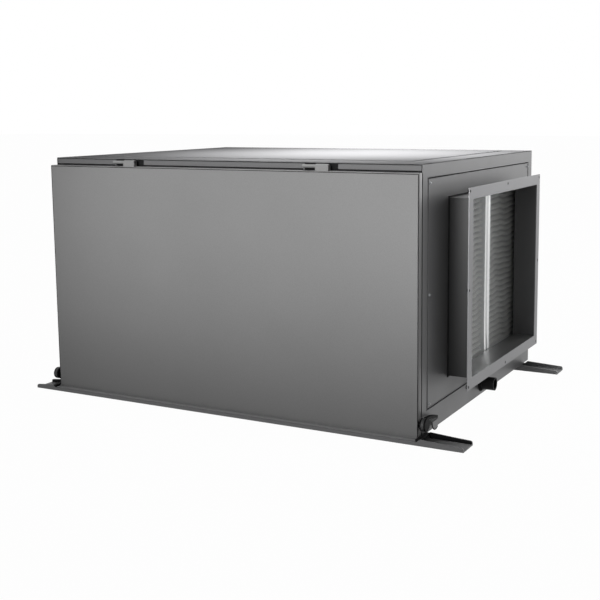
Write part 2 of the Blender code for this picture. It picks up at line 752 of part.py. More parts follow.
def latch(side, sign, door_pivot):
    """A turn knob with a hooked arm on the door's edge, and its keeper on the cabinet."""
    axis_y = FRONT - KNOB_OUT
    axis_z = RAIL_HEIGHT + KNOB_RISE
    centre = (sign * SIDE, axis_y, axis_z)
    boss_end = RUN_GAP - SEAT_GAP
    boss_centre = (sign * (SIDE + (SEAT_GAP + boss_end) / 2), axis_y, axis_z)
    boss = rod(boss_centre, "X", LATCH_BOSS_RADIUS, boss_end - SEAT_GAP, sides=24)
    pin_length = RUN_GAP + KNOB_LENGTH * 0.8 - SEAT_GAP
    pin_centre = (sign * (SIDE + SEAT_GAP + pin_length / 2), axis_y, axis_z)
    join(boss, rod(pin_centre, "X", LATCH_PIN_RADIUS, pin_length, sides=16))
    parent_to(place(boss, "latch_boss_" + side, DARK_STEEL), door_pivot)

    pivot = pivot_at("latch_pivot_" + side, centre)
    parent_to(pivot, door_pivot)
    bpy.context.view_layer.update()
    knob_centre = (sign * (SIDE + RUN_GAP + KNOB_LENGTH / 2), axis_y, axis_z)
    knob = rod(knob_centre, "X", KNOB_RADIUS, KNOB_LENGTH)
    bore_length = KNOB_LENGTH * 0.9
    outline = arm_outline(axis_y, axis_z)
    arm_start = SIDE + RUN_GAP + (KNOB_LENGTH - LATCH_ARM_WIDTH) / 2
    arm_low = arm_start if sign > 0 else -arm_start - LATCH_ARM_WIDTH
    join(knob, extrusion(outline, arm_low, LATCH_ARM_WIDTH, "X"))
    cut(knob, rod((sign * (SIDE + RUN_GAP + bore_length / 2 - SHEET / 2), axis_y, axis_z), "X",
                  LATCH_PIN_RADIUS + LATCH_PIN_GAP, bore_length + SHEET, sides=16))
    parent_to(place(knob, "latch_knob_" + side, BLACK_PLASTIC), pivot)
    keeper(side, sign)


def arm_outline(axis_y, axis_z):
    """The latch arm, a curved strap from the top of the knob that sinks towards its tip."""
    outer = LATCH_ARM_RADIUS
    inner = LATCH_ARM_RADIUS - LATCH_ARM_SHEET
    centre = (axis_y, axis_z + KNOB_RADIUS - LATCH_ARM_RADIUS)
    sweep = math.degrees(LATCH_ARM_REACH / LATCH_ARM_RADIUS)
    points = arc(centre, outer, 90, 90 - sweep, 10)
    points += arc(centre, inner, 90 - sweep, 90, 10)
    return points


def keeper(side, sign):
    """The bracket on the cabinet's side that the latch arm reaches over, with a round-ended tab."""
    low_y = FRONT + KEEPER_FRONT
    high_y = low_y + KEEPER_WIDTH
    top = RAIL_HEIGHT + KEEPER_TOP
    root = SIDE + SEAT_GAP
    outer = SIDE + KEEPER_STANDOFF
    half = KEEPER_WIDTH / 2
    bottom = top - KEEPER_DROP
    outline = [(high_y, top), (low_y, top)]
    outline += arc((low_y + half, bottom + half), half, 180, 360, 10)
    tab_low = outer - KEEPER_SHEET if sign > 0 else -outer
    tab = extrusion(outline, tab_low, KEEPER_SHEET, "X")
    ends = sorted((sign * root, sign * (outer - KEEPER_SHEET / 2)))
    join(tab, block((ends[0], low_y, top - KEEPER_SHEET), (ends[1], high_y, top)))
    foot = sorted((sign * root, sign * (root + KEEPER_SHEET)))
    join(tab, block((foot[0], low_y, top - KEEPER_DROP / 2), (foot[1], high_y, top)))
    place(tab, "latch_keeper_" + side, CABINET_STEEL)


def drain_spigot():
    """The drain outlet low on the side: a nut on the sheet, a wide cup, and a tail from the drip tray."""
    root = SIDE + SEAT_GAP
    nut_end = root + SPIGOT_NUT_LENGTH
    end = root + SPIGOT_LENGTH
    tail = TRAY_END + SEAT_GAP

    def turned_part(near, far, radius, sides):
        """A round or six-sided length of the outlet between two distances."""
        return rod(((near + far) / 2, SPIGOT_Y, SPIGOT_Z), "X", radius, far - near, sides=sides)

    body = turned_part(root, nut_end, SPIGOT_NUT_RADIUS, 6)
    join(body, turned_part(root, end, SPIGOT_RADIUS, 32))
    join(body, turned_part(tail, nut_end, SPIGOT_TAIL_RADIUS, 24))
    cut(body, turned_part(tail - SHEET, end + SHEET, SPIGOT_BORE, 32))
    cut(body, turned_part(end - SPIGOT_CUP_DEPTH, end + SHEET, SPIGOT_CUP_RADIUS, 32))
    return place(body, "drain_spigot", BLACK_PLASTIC)


def drip_tray():
    """The tray that the coils stand in, which empties into the drain."""
    low = (CONDENSER_X - TRAY_LAP, FRONT + TRAY_FRONT, FLOOR)
    high = (TRAY_END, BACK - SHEET - SEAT_GAP - TRAY_BACK, FLOOR + TRAY_HEIGHT)
    tray = pan(low, high, (0, 0, 1), SHEET)
    cut(tray, rod((TRAY_END, SPIGOT_Y, SPIGOT_Z), "X", SPIGOT_BORE, CUT_THROUGH, sides=24))
    return place(tray, "drip_tray", BRIGHT_STEEL)


def return_bend(x, low_z):
    """A hairpin of coil tube that comes out of the end plate and goes back in one bend higher."""
    root = COIL_FACE + 2 * COIL_PLATE
    out = COIL_FACE - TUBE_STRAIGHT
    turn = arc((out, low_z + TUBE_BEND), TUBE_BEND, 270, 90, 5)
    return [(x, root, low_z)] + [(x, y, z) for y, z in turn] + [(x, root, low_z + 2 * TUBE_BEND)]


def coil(name, low_x, manifold_top):
    """A fin block between two end plates, with its return bends and its manifold at the front."""
    high_x = low_x + COIL_DEPTH
    middle = (low_x + high_x) / 2
    back = BACK - COIL_BACK
    block_low = (low_x, COIL_FACE + COIL_PLATE / 2, COIL_BASE + COIL_PLATE_LAP)
    body = block(block_low, (high_x, back - COIL_PLATE / 2, COIL_TOP - COIL_PLATE_LAP))
    for y in (COIL_FACE, back - COIL_PLATE):
        join(body, block((low_x - COIL_PLATE_LAP, y, COIL_BASE),
                         (high_x + COIL_PLATE_LAP, y + COIL_PLATE, COIL_TOP)))
    count = int((COIL_TOP - COIL_BASE - 2 * TUBE_MARGIN) / TUBE_PITCH)
    first = COIL_BASE + TUBE_MARGIN
    bends = [return_bend(middle - TUBE_COLUMN, first + TUBE_PITCH * turn) for turn in range(count)]
    join(body, tubes(bends, TUBE_RADIUS))
    root = COIL_FACE + 2 * COIL_PLATE
    x = middle + TUBE_COLUMN
    route = [(root, manifold_top - MANIFOLD_LENGTH), (MANIFOLD_Y, manifold_top - MANIFOLD_LENGTH),
             (MANIFOLD_Y, manifold_top), (root, manifold_top)]
    corners = [(x, y, z) for y, z in route]
    join(body, tubes([rounded_route(corners, MANIFOLD_BEND)], MANIFOLD_RADIUS))
    return place(body, name, COIL_METAL)


def quarter_dome(radius, height, flat, top, steps=5):
    """Points of a flattened dome's profile, from its flat middle down to its rim, or back up below."""
    points = []
    for step in range(steps + 1):
        angle = math.pi / 2 * step / steps
        rise = height * (1 - math.cos(angle))
        points.append((flat + (radius - flat) * math.sin(angle), top - rise))
    return points


def compressor():
    """A welded shell on a foot plate with four rubber feet, with its terminal box and two pipe stubs."""
    upper = quarter_dome(COMPRESSOR_RADIUS, COMPRESSOR_DOME, 0.0, COMPRESSOR_HEIGHT)
    lower = [(radius, COMPRESSOR_HEIGHT - height) for radius, height in reversed(upper)]
    band_low = COMPRESSOR_BAND_RISE
    band_high = COMPRESSOR_BAND_RISE + COMPRESSOR_BAND_HEIGHT
    band = [(COMPRESSOR_RADIUS, band_high), (COMPRESSOR_RADIUS + COMPRESSOR_BAND, band_high),
            (COMPRESSOR_RADIUS + COMPRESSOR_BAND, band_low), (COMPRESSOR_RADIUS, band_low)]
    base = FLOOR + GROMMET_HEIGHT
    shell = turned(upper + band + lower, (COMPRESSOR_X, COMPRESSOR_Y, base), "Z", steps=28)
    reach = COMPRESSOR_FOOT
    plate_top = base + COMPRESSOR_FOOT_SHEET
    plate = rounded_rectangle(COMPRESSOR_X - reach, COMPRESSOR_X + reach,
                              COMPRESSOR_Y - reach, COMPRESSOR_Y + reach, COMPRESSOR_FOOT_CORNER)
    join(shell, extrusion(plate, base, COMPRESSOR_FOOT_SHEET, "Z"))
    for side in (-1, 1):
        for end in (-1, 1):
            top = plate_top + SHEET
            centre = (COMPRESSOR_X + side * (reach - COMPRESSOR_FOOT_CORNER),
                      COMPRESSOR_Y + end * (reach - COMPRESSOR_FOOT_CORNER), (FLOOR + top) / 2)
            join(shell, rod(centre, "Z", GROMMET_RADIUS, top - FLOOR, sides=16))
        stub_centre = (COMPRESSOR_X + side * STUB_SPREAD, COMPRESSOR_Y, COMPRESSOR_TOP - COMPRESSOR_DOME / 2)
        join(shell, rod(stub_centre, "Z", PIPE_RADIUS + SHEET, COMPRESSOR_DOME + 2 * STUB_LENGTH, sides=12))
    face = COMPRESSOR_Y - COMPRESSOR_RADIUS
    low = (COMPRESSOR_X - TERMINAL_WIDTH / 2, face - TERMINAL_DEPTH / 2,
           base + TERMINAL_RISE - TERMINAL_HEIGHT)
    high = (COMPRESSOR_X + TERMINAL_WIDTH / 2, face + TERMINAL_DEPTH, base + TERMINAL_RISE)
    join(shell, block(low, high))
    return place(shell, "compressor", BLACK_ENAMEL)


def circuit_pipe(name, side, low_x, manifold_top):
    """A copper pipe from a stub on the compressor, up, forward and across to a coil's manifold."""
    x = COMPRESSOR_X + side * STUB_SPREAD
    start = COMPRESSOR_TOP + STUB_LENGTH + SEAT_GAP
    z = manifold_top - PIPE_DROP
    end = low_x + COIL_DEPTH / 2 + TUBE_COLUMN - MANIFOLD_RADIUS - SEAT_GAP
    corners = [(x, COMPRESSOR_Y, start), (x, COMPRESSOR_Y, z), (x, MANIFOLD_Y, z), (end, MANIFOLD_Y, z)]
    return place(tubes([rounded_route(corners, PIPE_BEND)], PIPE_RADIUS), name, COPPER)


def scroll_radius(angle):
    """How far the blower's scroll lies from its middle, at an angle in degrees."""
    share = (angle - TONGUE_ANGLE) / (SCROLL_END_ANGLE - TONGUE_ANGLE)
    return SCROLL_START * (SCROLL_END / SCROLL_START) ** share


def blower_height():
    """The height of the blower's middle: its scroll's lowest point stands on the feet."""
    return FLOOR + BLOWER_FOOT + scroll_radius(270)


def scroll_outline(inset, mouth_x):
    """The scroll seen from the front: a growing spiral from the tongue round to the top, then the mouth."""
    middle = blower_height()
    sill = middle + SCROLL_START * math.sin(math.radians(TONGUE_ANGLE)) + inset
    first = 180 - math.degrees(math.asin((sill - middle) / (SCROLL_START - inset)))
    points = []
    for step in range(SCROLL_STEPS + 1):
        angle = first + (SCROLL_END_ANGLE - first) * step / SCROLL_STEPS
        radius = scroll_radius(angle) - inset
        points.append((BLOWER_X + radius * math.cos(math.radians(angle)),
                       middle + radius * math.sin(math.radians(angle))))
    points.append((mouth_x, middle + SCROLL_END - inset))
    points.append((mouth_x, sill))
    return points


def mouth_plane():
    """Where the blower's mouth meets the partition."""
    return BLOWER_PLATE_X + SHEET + SEAT_GAP


def blower_plate():
    """The partition in front of the outlet, with a hole for the blower's mouth."""
    sheet = block((BLOWER_PLATE_X, FRONT + HEADER_LEDGE + SEAT_GAP, FLOOR),
                  (BLOWER_PLATE_X + SHEET, BACK - 2 * (SHEET + SEAT_GAP), TOP - SHEET - SEAT_GAP))
    middle = blower_height()
    sill = middle + SCROLL_START * math.sin(math.radians(TONGUE_ANGLE)) + SHEET
    cut(sheet, block((BLOWER_PLATE_X - SHEET, BLOWER_Y0, sill),
                     (BLOWER_PLATE_X + 2 * SHEET, BLOWER_Y1 - SHEET, middle + SCROLL_END - SHEET)))
    return place(sheet, "blower_plate", BRIGHT_STEEL)


def blower_housing():
    """The scroll of the blower, a curved shell with a closed back, an open front, a mouth and two feet."""
    middle = blower_height()
    shell = extrusion(scroll_outline(0.0, mouth_plane()), BLOWER_Y0, BLOWER_WIDTH, "Y")
    for side in (-1, 1):
        x = BLOWER_X + side * BLOWER_FOOT_SPREAD
        join(shell, block((x - BLOWER_FOOT_WIDTH / 2, BLOWER_Y0, FLOOR),
                          (x + BLOWER_FOOT_WIDTH / 2, BLOWER_Y1, middle - WHEEL_RADIUS)))
    cut(shell, extrusion(scroll_outline(SHEET, mouth_plane() - SHEET), BLOWER_Y0 - SHEET, BLOWER_WIDTH, "Y"))
    cut(shell, rod((BLOWER_X, BLOWER_Y1, middle), "Y", HUB_RADIUS, CUT_THROUGH, sides=24))
    return place(shell, "blower_housing", BRIGHT_STEEL)


def blower_cover():
    """The scroll's front sheet, with a drawn inlet ring that leads the air into the wheel."""
    middle = blower_height()
    start = BLOWER_Y0 - SEAT_GAP - SHEET
    sheet = extrusion(scroll_outline(0.0, mouth_plane()), start, SHEET, "Y")
    cut(sheet, rod((BLOWER_X, start, middle), "Y", (INLET_RIM + INLET_MOUTH) / 2, CUT_THROUGH, sides=32))
    outer = []
    inner = []
    for step in range(5):
        angle = math.pi / 2 * step / 4
        radius = INLET_MOUTH - (INLET_MOUTH - INLET_THROAT) * math.sin(angle)
        height = (INLET_LENGTH + SHEET) * (1 - math.cos(angle)) - SHEET
        outer.append((radius + INLET_SHEET, max(height, SHEET / 2)))
        inner.append((radius, height))
    profile = list(reversed(outer)) + [(INLET_RIM, SHEET / 2), (INLET_RIM, -SHEET)] + inner
    join(sheet, turned(profile, (BLOWER_X, start, middle), "Y", steps=28))
    return place(sheet, "blower_cover", BRIGHT_STEEL)


def blade_outline(turn):
    """One forward-curved blade seen along the shaft, a thin arc between the wheel's bore and its rim."""
    half = math.radians(BLADE_HALF_ANGLE)
    chord = WHEEL_RADIUS - WHEEL_BORE
    cup = chord / 2 / math.sin(half)
    centre = ((WHEEL_RADIUS + WHEEL_BORE) / 2, cup * math.cos(half))
    points = arc(centre, cup + BLADE_SHEET / 2, 270 - BLADE_HALF_ANGLE, 270 + BLADE_HALF_ANGLE, 4)
    points += arc(centre, cup - BLADE_SHEET / 2, 270 + BLADE_HALF_ANGLE, 270 - BLADE_HALF_ANGLE, 4)
    angle = 2 * math.pi * turn / BLADE_COUNT
    middle = blower_height()
    turn_cos = math.cos(angle)
    turn_sin = math.sin(angle)
    return [(BLOWER_X + x * turn_cos - z * turn_sin, middle + x * turn_sin + z * turn_cos) for x, z in points]


def blower_wheel():
    """The forward-curved wheel: blades between a front ring and a back disc, with a hub on the shaft."""
    centre = (BLOWER_X, blower_height())
    front = BLOWER_Y0 + WHEEL_FRONT_GAP
    back = BLOWER_Y1 - SHEET - WHEEL_BACK_GAP
    blades = [blade_outline(turn) for turn in range(BLADE_COUNT)]
    wheel = extrusions(blades, front + WHEEL_RING / 2, back - front - (WHEEL_RING + WHEEL_DISC) / 2, "Y")
    rim = circle(centre, WHEEL_RADIUS + WHEEL_RIM, BLADE_COUNT)
    eye = circle(centre, WHEEL_BORE - WHEEL_RIM, BLADE_COUNT)
    join(wheel, extrusions([rim, eye], front, WHEEL_RING, "Y"))
    join(wheel, extrusion(rim, back - WHEEL_DISC, WHEEL_DISC, "Y"))
    hub_centre = (BLOWER_X, back - HUB_LENGTH / 2 + WHEEL_DISC, blower_height())
    join(wheel, rod(hub_centre, "Y", HUB_RADIUS, HUB_LENGTH, sides=24))
    cut(wheel, rod(hub_centre, "Y", SHAFT_RADIUS + SEAT_GAP, 2 * HUB_LENGTH, sides=16))
    return place(wheel, "blower_wheel", BRIGHT_STEEL)


def blower_motor():
    """The motor on the scroll's back, its flange on the sheet and its shaft in the wheel's hub."""
    tip = SHEET + WHEEL_BACK_GAP + HUB_LENGTH
    shoulder = MOTOR_LENGTH - MOTOR_BELL
    profile = quarter_dome(MOTOR_RADIUS, MOTOR_BELL, SHAFT_RADIUS * 2, MOTOR_LENGTH, 4)
    profile = [(0.0, MOTOR_LENGTH)] + profile
    profile += [(MOTOR_RADIUS, MOTOR_FLANGE_SHEET), (MOTOR_FLANGE, MOTOR_FLANGE_SHEET), (MOTOR_FLANGE, 0.0),
                (SHAFT_RADIUS, 0.0), (SHAFT_RADIUS, -tip), (0.0, -tip)]
    motor = turned(profile, (BLOWER_X, BLOWER_Y1 + SEAT_GAP, blower_height()), "Y")
    box_low = (BLOWER_X - TERMINAL_WIDTH / 2, BLOWER_Y1 + MOTOR_BELL + MOTOR_FLANGE_SHEET, blower_height())
    box_high = (BLOWER_X + TERMINAL_WIDTH / 2, BLOWER_Y1 + shoulder - MOTOR_BELL,
                blower_height() + MOTOR_RADIUS + TERMINAL_DEPTH / 2)
    join(motor, block(box_low, box_high))
    return place(motor, "blower_motor", BLACK_ENAMEL)


def blower_guard():
    """The finger guard over the inlet: wire rings on four spokes."""
    back = BLOWER_Y0 - 2 * SEAT_GAP - 2 * SHEET
    centre = (BLOWER_X, blower_height())
    reach = INLET_RIM - GUARD_WIRE
    outlines = []
    for ring in range(GUARD_RINGS):
        radius = reach * (ring + 1) / GUARD_RINGS
        outlines += [circle(centre, radius, 24), circle(centre, radius - GUARD_WIRE, 24)]
    guard = extrusions(outlines, back - GUARD_WIRE, GUARD_WIRE, "Y")
    x, z = centre
    half = GUARD_SPOKE / 2
    near = back - GUARD_WIRE * 1.5
    join(guard, block((x - reach, near, z - half), (x + reach, back - GUARD_WIRE / 2, z + half)))
    join(guard, block((x - half, near, z - reach), (x + half, back - GUARD_WIRE / 2, z + reach)))
    return place(guard, "blower_guard", BLACK_ENAMEL)


def control_box():
    """The closed electrical box on the partition, with its lid facing the door."""
    start = mouth_plane()
    front = FRONT + CONTROL_FRONT
    top = TOP - CONTROL_HEADROOM
    box = block((start, front + CONTROL_LID / 2, top - CONTROL_HEIGHT),
                (start + CONTROL_WIDTH, front + CONTROL_DEPTH, top))
    join(box, block((start, front, top - CONTROL_HEIGHT - SHEET),
                    (start + CONTROL_WIDTH + SHEET, front + CONTROL_LID, top + SHEET)))
    return place(box, "control_box", CABINET_STEEL)


def centre_on_rails():
    """Move the whole dryer so that its rails, which reach further on the right, lie even about the middle."""
    bpy.context.view_layer.update()
    tops = [item for item in bpy.data.objects if item.parent is None]
    root = pivot_at("rail_middle", (0.0, 0.0, 0.0))
    for item in tops:
        item.parent = root
    root.location.x = (RAIL_LEFT_REACH - RAIL_RIGHT_REACH) / 2


def build():
    """Make every sub-part."""
    rail("front_rail", FRONT - RAIL_FRONT_REACH)
    rail("back_rail", BACK - RAIL_BACK_INSET - RAIL_WIDTH)
    base_tray()
    top_panel()
    top_cover()
    header()
    back_panel()
    for side, sign in (("left", -1), ("right", 1)):
        side_frame("side_frame_" + side, sign)
        side_panel("service_panel_" + side, sign)
        panel_gasket("panel_gasket_" + side, sign)
        duct_collar("duct_collar_" + side, sign)
    for row, low_y in (("front", FILTER_SPLIT - FILTER_WIDTH), ("back", FILTER_SPLIT + SEAT_GAP)):
        filter_frame("filter_frame_" + row, low_y)
        filter_media("filter_media_" + row, low_y)
    filter_track("filter_track_bottom", COLLAR_Z0 - FILTER_OVERLAP, -1)
    filter_track("filter_track_top", COLLAR_Z1 + FILTER_OVERLAP, 1)
    door_pivot = pivot_at("door_pivot", (0.0, HINGE_Y, HINGE_Z))
    front_door(door_pivot)
    hinge("left", HINGE_LEFT_X, door_pivot)
    hinge("right", HINGE_RIGHT_X, door_pivot)
    latch("left", -1, door_pivot)
    latch("right", 1, door_pivot)
    drain_spigot()
    drip_tray()
    coil("coil_evaporator", EVAPORATOR_X, EVAPORATOR_MANIFOLD_TOP)
    coil("coil_condenser", CONDENSER_X, CONDENSER_MANIFOLD_TOP)
    compressor()
    circuit_pipe("suction_pipe", 1, EVAPORATOR_X, EVAPORATOR_MANIFOLD_TOP)
    circuit_pipe("discharge_pipe", -1, CONDENSER_X, CONDENSER_MANIFOLD_TOP)
    blower_plate()
    blower_housing()
    blower_cover()
    blower_wheel()
    blower_motor()
    blower_guard()
    control_box()
    centre_on_rails()


clear_scene()
PARTS = new_collection("ducted_air_dryer")
CUTTERS = new_collection("cutters")
CABINET_STEEL = finish("powder_coated_steel", (0.23, 0.23, 0.24), 0.38, 0.55)
DOOR_STEEL = finish("door_powder_coat", (0.26, 0.26, 0.27), 0.32, 0.6)
DARK_STEEL = finish("dark_painted_steel", (0.03, 0.03, 0.032), 0.45, 0.3)
RAIL_STEEL = finish("rail_powder_coat", (0.07, 0.07, 0.075), 0.5, 0.4)
BRIGHT_STEEL = finish("galvanised_steel", (0.8, 0.8, 0.8), 0.35, 0.9)
FILTER_CLOTH = finish("pleated_filter_cloth", (0.6, 0.6, 0.58), 0.95, 0.0)
BLACK_RUBBER = finish("black_foam_rubber", (0.02, 0.02, 0.02), 0.8, 0.0)
BLACK_PLASTIC = finish("black_plastic", (0.015, 0.015, 0.015), 0.5, 0.0)
COIL_METAL = finish("aluminium_fins_and_copper", (0.72, 0.70, 0.68), 0.4, 0.9)
COPPER = finish("copper_tube", (0.62, 0.28, 0.16), 0.35, 1.0)
BLACK_ENAMEL = finish("black_enamel", (0.02, 0.02, 0.022), 0.35, 0.0)
build()
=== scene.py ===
import math

import bmesh
import bpy
from mathutils import Matrix, Vector


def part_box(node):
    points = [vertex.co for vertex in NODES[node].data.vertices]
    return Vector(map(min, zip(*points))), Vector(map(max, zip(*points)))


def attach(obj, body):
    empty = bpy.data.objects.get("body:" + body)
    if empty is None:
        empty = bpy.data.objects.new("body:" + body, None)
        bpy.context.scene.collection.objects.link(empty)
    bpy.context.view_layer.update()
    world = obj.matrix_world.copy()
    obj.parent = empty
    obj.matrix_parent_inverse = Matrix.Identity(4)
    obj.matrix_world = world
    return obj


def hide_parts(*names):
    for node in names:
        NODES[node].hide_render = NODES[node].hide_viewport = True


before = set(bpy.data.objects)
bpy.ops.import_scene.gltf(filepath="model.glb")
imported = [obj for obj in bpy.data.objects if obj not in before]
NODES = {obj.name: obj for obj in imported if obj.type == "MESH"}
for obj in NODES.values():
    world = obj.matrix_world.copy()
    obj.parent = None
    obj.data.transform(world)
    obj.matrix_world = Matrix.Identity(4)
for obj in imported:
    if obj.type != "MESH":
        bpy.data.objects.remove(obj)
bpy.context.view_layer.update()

MM = 0.001

# Planes of the dryer, read from its solids.
SIDE_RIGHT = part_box("service_panel_right")[1].x
SIDE_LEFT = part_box("service_panel_left")[0].x
MIDDLE = (SIDE_RIGHT + SIDE_LEFT) / 2
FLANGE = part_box("duct_collar_right")[1].x

# Sizes that the pieces share with the solids and with each other.
COLLAR_SHEET = 2 * MM
FLANGE_WIDTH = 30 * MM
RIM_BORDER = 20 * MM
RAIL_WALL = 3 * MM
RAIL_COVER = 10.2 * MM
COIL_LENGTH = 776 * MM

# The height of the strip over the header, and the gap that its other dark pieces keep to its foot.
HEADER_STRIP = 1.6 * MM
HEADER_GAP = 0.5 * MM

# The cable glands under the control box: their step along it, and how far behind its middle.
GLAND_STEP = 40 * MM
GLAND_BACK = 10 * MM

# How far a pipe's middle line lies inside its box.
PIPE_RADIUS = 6.5 * MM

# Turns that lay a shape's own XY plane across X, Y or Z, with its height along that axis.
ACROSS = {
    "+X": Matrix(((0, 0, 1), (1, 0, 0), (0, 1, 0))).to_4x4(),
    "-X": Matrix(((0, 0, -1), (-1, 0, 0), (0, 1, 0))).to_4x4(),
    "-Y": Matrix(((1, 0, 0), (0, 0, -1), (0, 1, 0))).to_4x4(),
    "+Y": Matrix(((-1, 0, 0), (0, 0, 1), (0, 1, 0))).to_4x4(),
    "+Z": Matrix(),
}

# The way out of the cabinet on each side, and the way in.
OUT = {"left": "-X", "right": "+X"}
IN = {"left": "+X", "right": "-X"}

# Where a Mix node keeps its two colours and the mixed one.
MIX_FIRST = 6
MIX_SECOND = 7
MIXED = 2


def linear(code):
    """A colour written as sRGB hex, as the linear values that a shader takes."""
    parts = [int(code[index:index + 2], 16) / 255 for index in (1, 3, 5)]
    parts = [part / 12.92 if part < 0.04045 else ((part + 0.055) / 1.055) ** 2.4 for part in parts]
    return (*parts, 1.0)


def add(tree, kind, values=None, links=None, **settings):
    """Add one node with its settings, its socket values and its links."""
    made = tree.nodes.new(kind)
    for key, value in settings.items():
        setattr(made, key, value)
    for key, value in (values or {}).items():
        made.inputs[key].default_value = value
    for key, socket in (links or {}).items():
        tree.links.new(socket, made.inputs[key])
    return made


def blank_material(name):
    """A material with nothing in it yet."""
    material = bpy.data.materials.new(name)
    material.use_nodes = True
    material.node_tree.nodes.clear()
    return material, material.node_tree


# Light, floor and camera


def shown_white(tree):
    """How far a ray is one that shows white: to the camera, in gloss or through glass."""
    path = add(tree, "ShaderNodeLightPath")
    seen = path.outputs["Is Camera Ray"]
    for other in ("Is Glossy Ray", "Is Transmission Ray"):
        seen = add(tree, "ShaderNodeMath", links={0: seen, 1: path.outputs[other]},
                   operation="MAXIMUM").outputs[0]
    return seen


def studio_world():
    """An even grey studio that shows as white behind the dryer and in its gloss."""
    fill = 0.16
    world = bpy.data.worlds.new("studio")
    bpy.context.scene.world = world
    world.use_nodes = True
    tree = world.node_tree
    tree.nodes.clear()
    seen = shown_white(tree)
    plain, white = (add(tree, "ShaderNodeBackground",
                        values={"Color": linear("#FFFFFF"), "Strength": strength})
                    for strength in (fill, 1.0))
    mixed = add(tree, "ShaderNodeMixShader",
                links={0: seen, 1: plain.outputs[0], 2: white.outputs[0]})
    add(tree, "ShaderNodeOutputWorld", links={"Surface": mixed.outputs[0]})


def studio_floor():
    """A wide pale floor that shows almost white and keeps a faint shadow."""
    whiteness = 0.985
    reach = 30.0
    material, tree = blank_material("pale_studio_floor")
    paint = add(tree, "ShaderNodeBsdfDiffuse", values={"Color": linear("#8C8C8C")})
    white = add(tree, "ShaderNodeEmission", values={"Color": linear("#FFFFFF"), "Strength": 1.0})
    share = add(tree, "ShaderNodeMath", values={1: whiteness}, links={0: shown_white(tree)},
                operation="MULTIPLY")
    mixed = add(tree, "ShaderNodeMixShader",
                links={0: share.outputs[0], 1: paint.outputs[0], 2: white.outputs[0]})
    add(tree, "ShaderNodeOutputMaterial", links={"Surface": mixed.outputs[0]})
    work = bmesh.new()
    bmesh.ops.create_grid(work, x_segments=1, y_segments=1, size=reach)
    mesh = bpy.data.meshes.new("floor")
    work.to_mesh(mesh)
    work.free()
    floor = bpy.data.objects.new("floor", mesh)
    floor.data.materials.append(material)
    bpy.context.scene.collection.objects.link(floor)


def soft_light(name, place, aim, width, height, power, spread=180.0):
    """One rectangular soft light aimed at a point, its beam narrowed to a spread in degrees."""
    lamp = bpy.data.lights.new(name, "AREA")
    lamp.shape = "RECTANGLE"
    lamp.size = width
    lamp.size_y = height
    lamp.energy = power
    lamp.spread = math.radians(spread)
    item = bpy.data.objects.new(name, lamp)
    item.location = place
    item.rotation_euler = (Vector(aim) - Vector(place)).to_track_quat("-Z", "Y").to_euler()
    bpy.context.scene.collection.objects.link(item)


def studio_camera():
    """The camera at the photograph's place: right of the door and a little above the roof.

    The photograph is a crop, so its optical axis lies up and to the right of its middle.
    """
    place = (1.5113, -2.7334, 0.8168)
    yaw = 0.48246
    pitch = 0.13541
    roll = -0.00741
    forward = Vector((-math.sin(yaw) * math.cos(pitch), math.cos(yaw) * math.cos(pitch),
                      -math.sin(pitch)))
    level = Vector((math.cos(yaw), math.sin(yaw), 0.0))
    upright = level.cross(forward)
    across = level * math.cos(roll) + upright * math.sin(roll)
    above = upright * math.cos(roll) - level * math.sin(roll)
    lens = bpy.data.cameras.new("camera")
    lens.sensor_width = 36.0
    lens.lens = 61.794
    lens.shift_x = -0.0534
    lens.shift_y = -0.0800
    item = bpy.data.objects.new("camera", lens)
    turn = Matrix((across, above, -forward)).transposed().to_4x4()
    item.matrix_world = Matrix.Translation(place) @ turn
    bpy.context.scene.collection.objects.link(item)
    bpy.context.scene.camera = item


# Finishes


def patches(tree, place, size, detail=2.0, low=0.3, high=0.7, least=0.0, most=1.0):
    """Soft random patches of one size, spread from a least to a most value."""
    cloud = add(tree, "ShaderNodeTexNoise", values={"Scale": 1 / size, "Detail": detail},
                links={"Vector": place})
    spread = add(tree, "ShaderNodeMapRange",
                 values={"From Min": low, "From Max": high, "To Min": least, "To Max": most},
                 links={"Value": cloud.outputs["Fac"]})
    return spread.outputs[0]


def tinted(tree, colour, *shares):
    """A written colour or a coloured socket, made lighter or darker by each share in turn."""
    for share in shares:
        scaled = add(tree, "ShaderNodeVectorMath", links={"Scale": share}, operation="SCALE")
        if isinstance(colour, str):
            scaled.inputs[0].default_value = linear(colour)[:3]
        else:
            tree.links.new(colour, scaled.inputs[0])
        colour = scaled.outputs[0]
    return colour


def finish(tree, colour, roughness, bump=None, strength=0.1, depth=0.2 * MM, metal=None,
           **constants):
    """Close a material: its colour, roughness and relief, and the values that stay the same."""
    links = {"Base Color": colour}
    if metal is not None:
        links["Metallic"] = metal
    values = {key.replace("_", " "): value for key, value in constants.items()}
    if isinstance(roughness, float):
        values["Roughness"] = roughness
    else:
        links["Roughness"] = roughness
    if bump is not None:
        relief = add(tree, "ShaderNodeBump", values={"Strength": strength, "Distance": depth},
                     links={"Height": bump})
        links["Normal"] = relief.outputs[0]
    shader = add(tree, "ShaderNodeBsdfPrincipled", values=values, links=links)
    add(tree, "ShaderNodeOutputMaterial", links={"Surface": shader.outputs[0]})


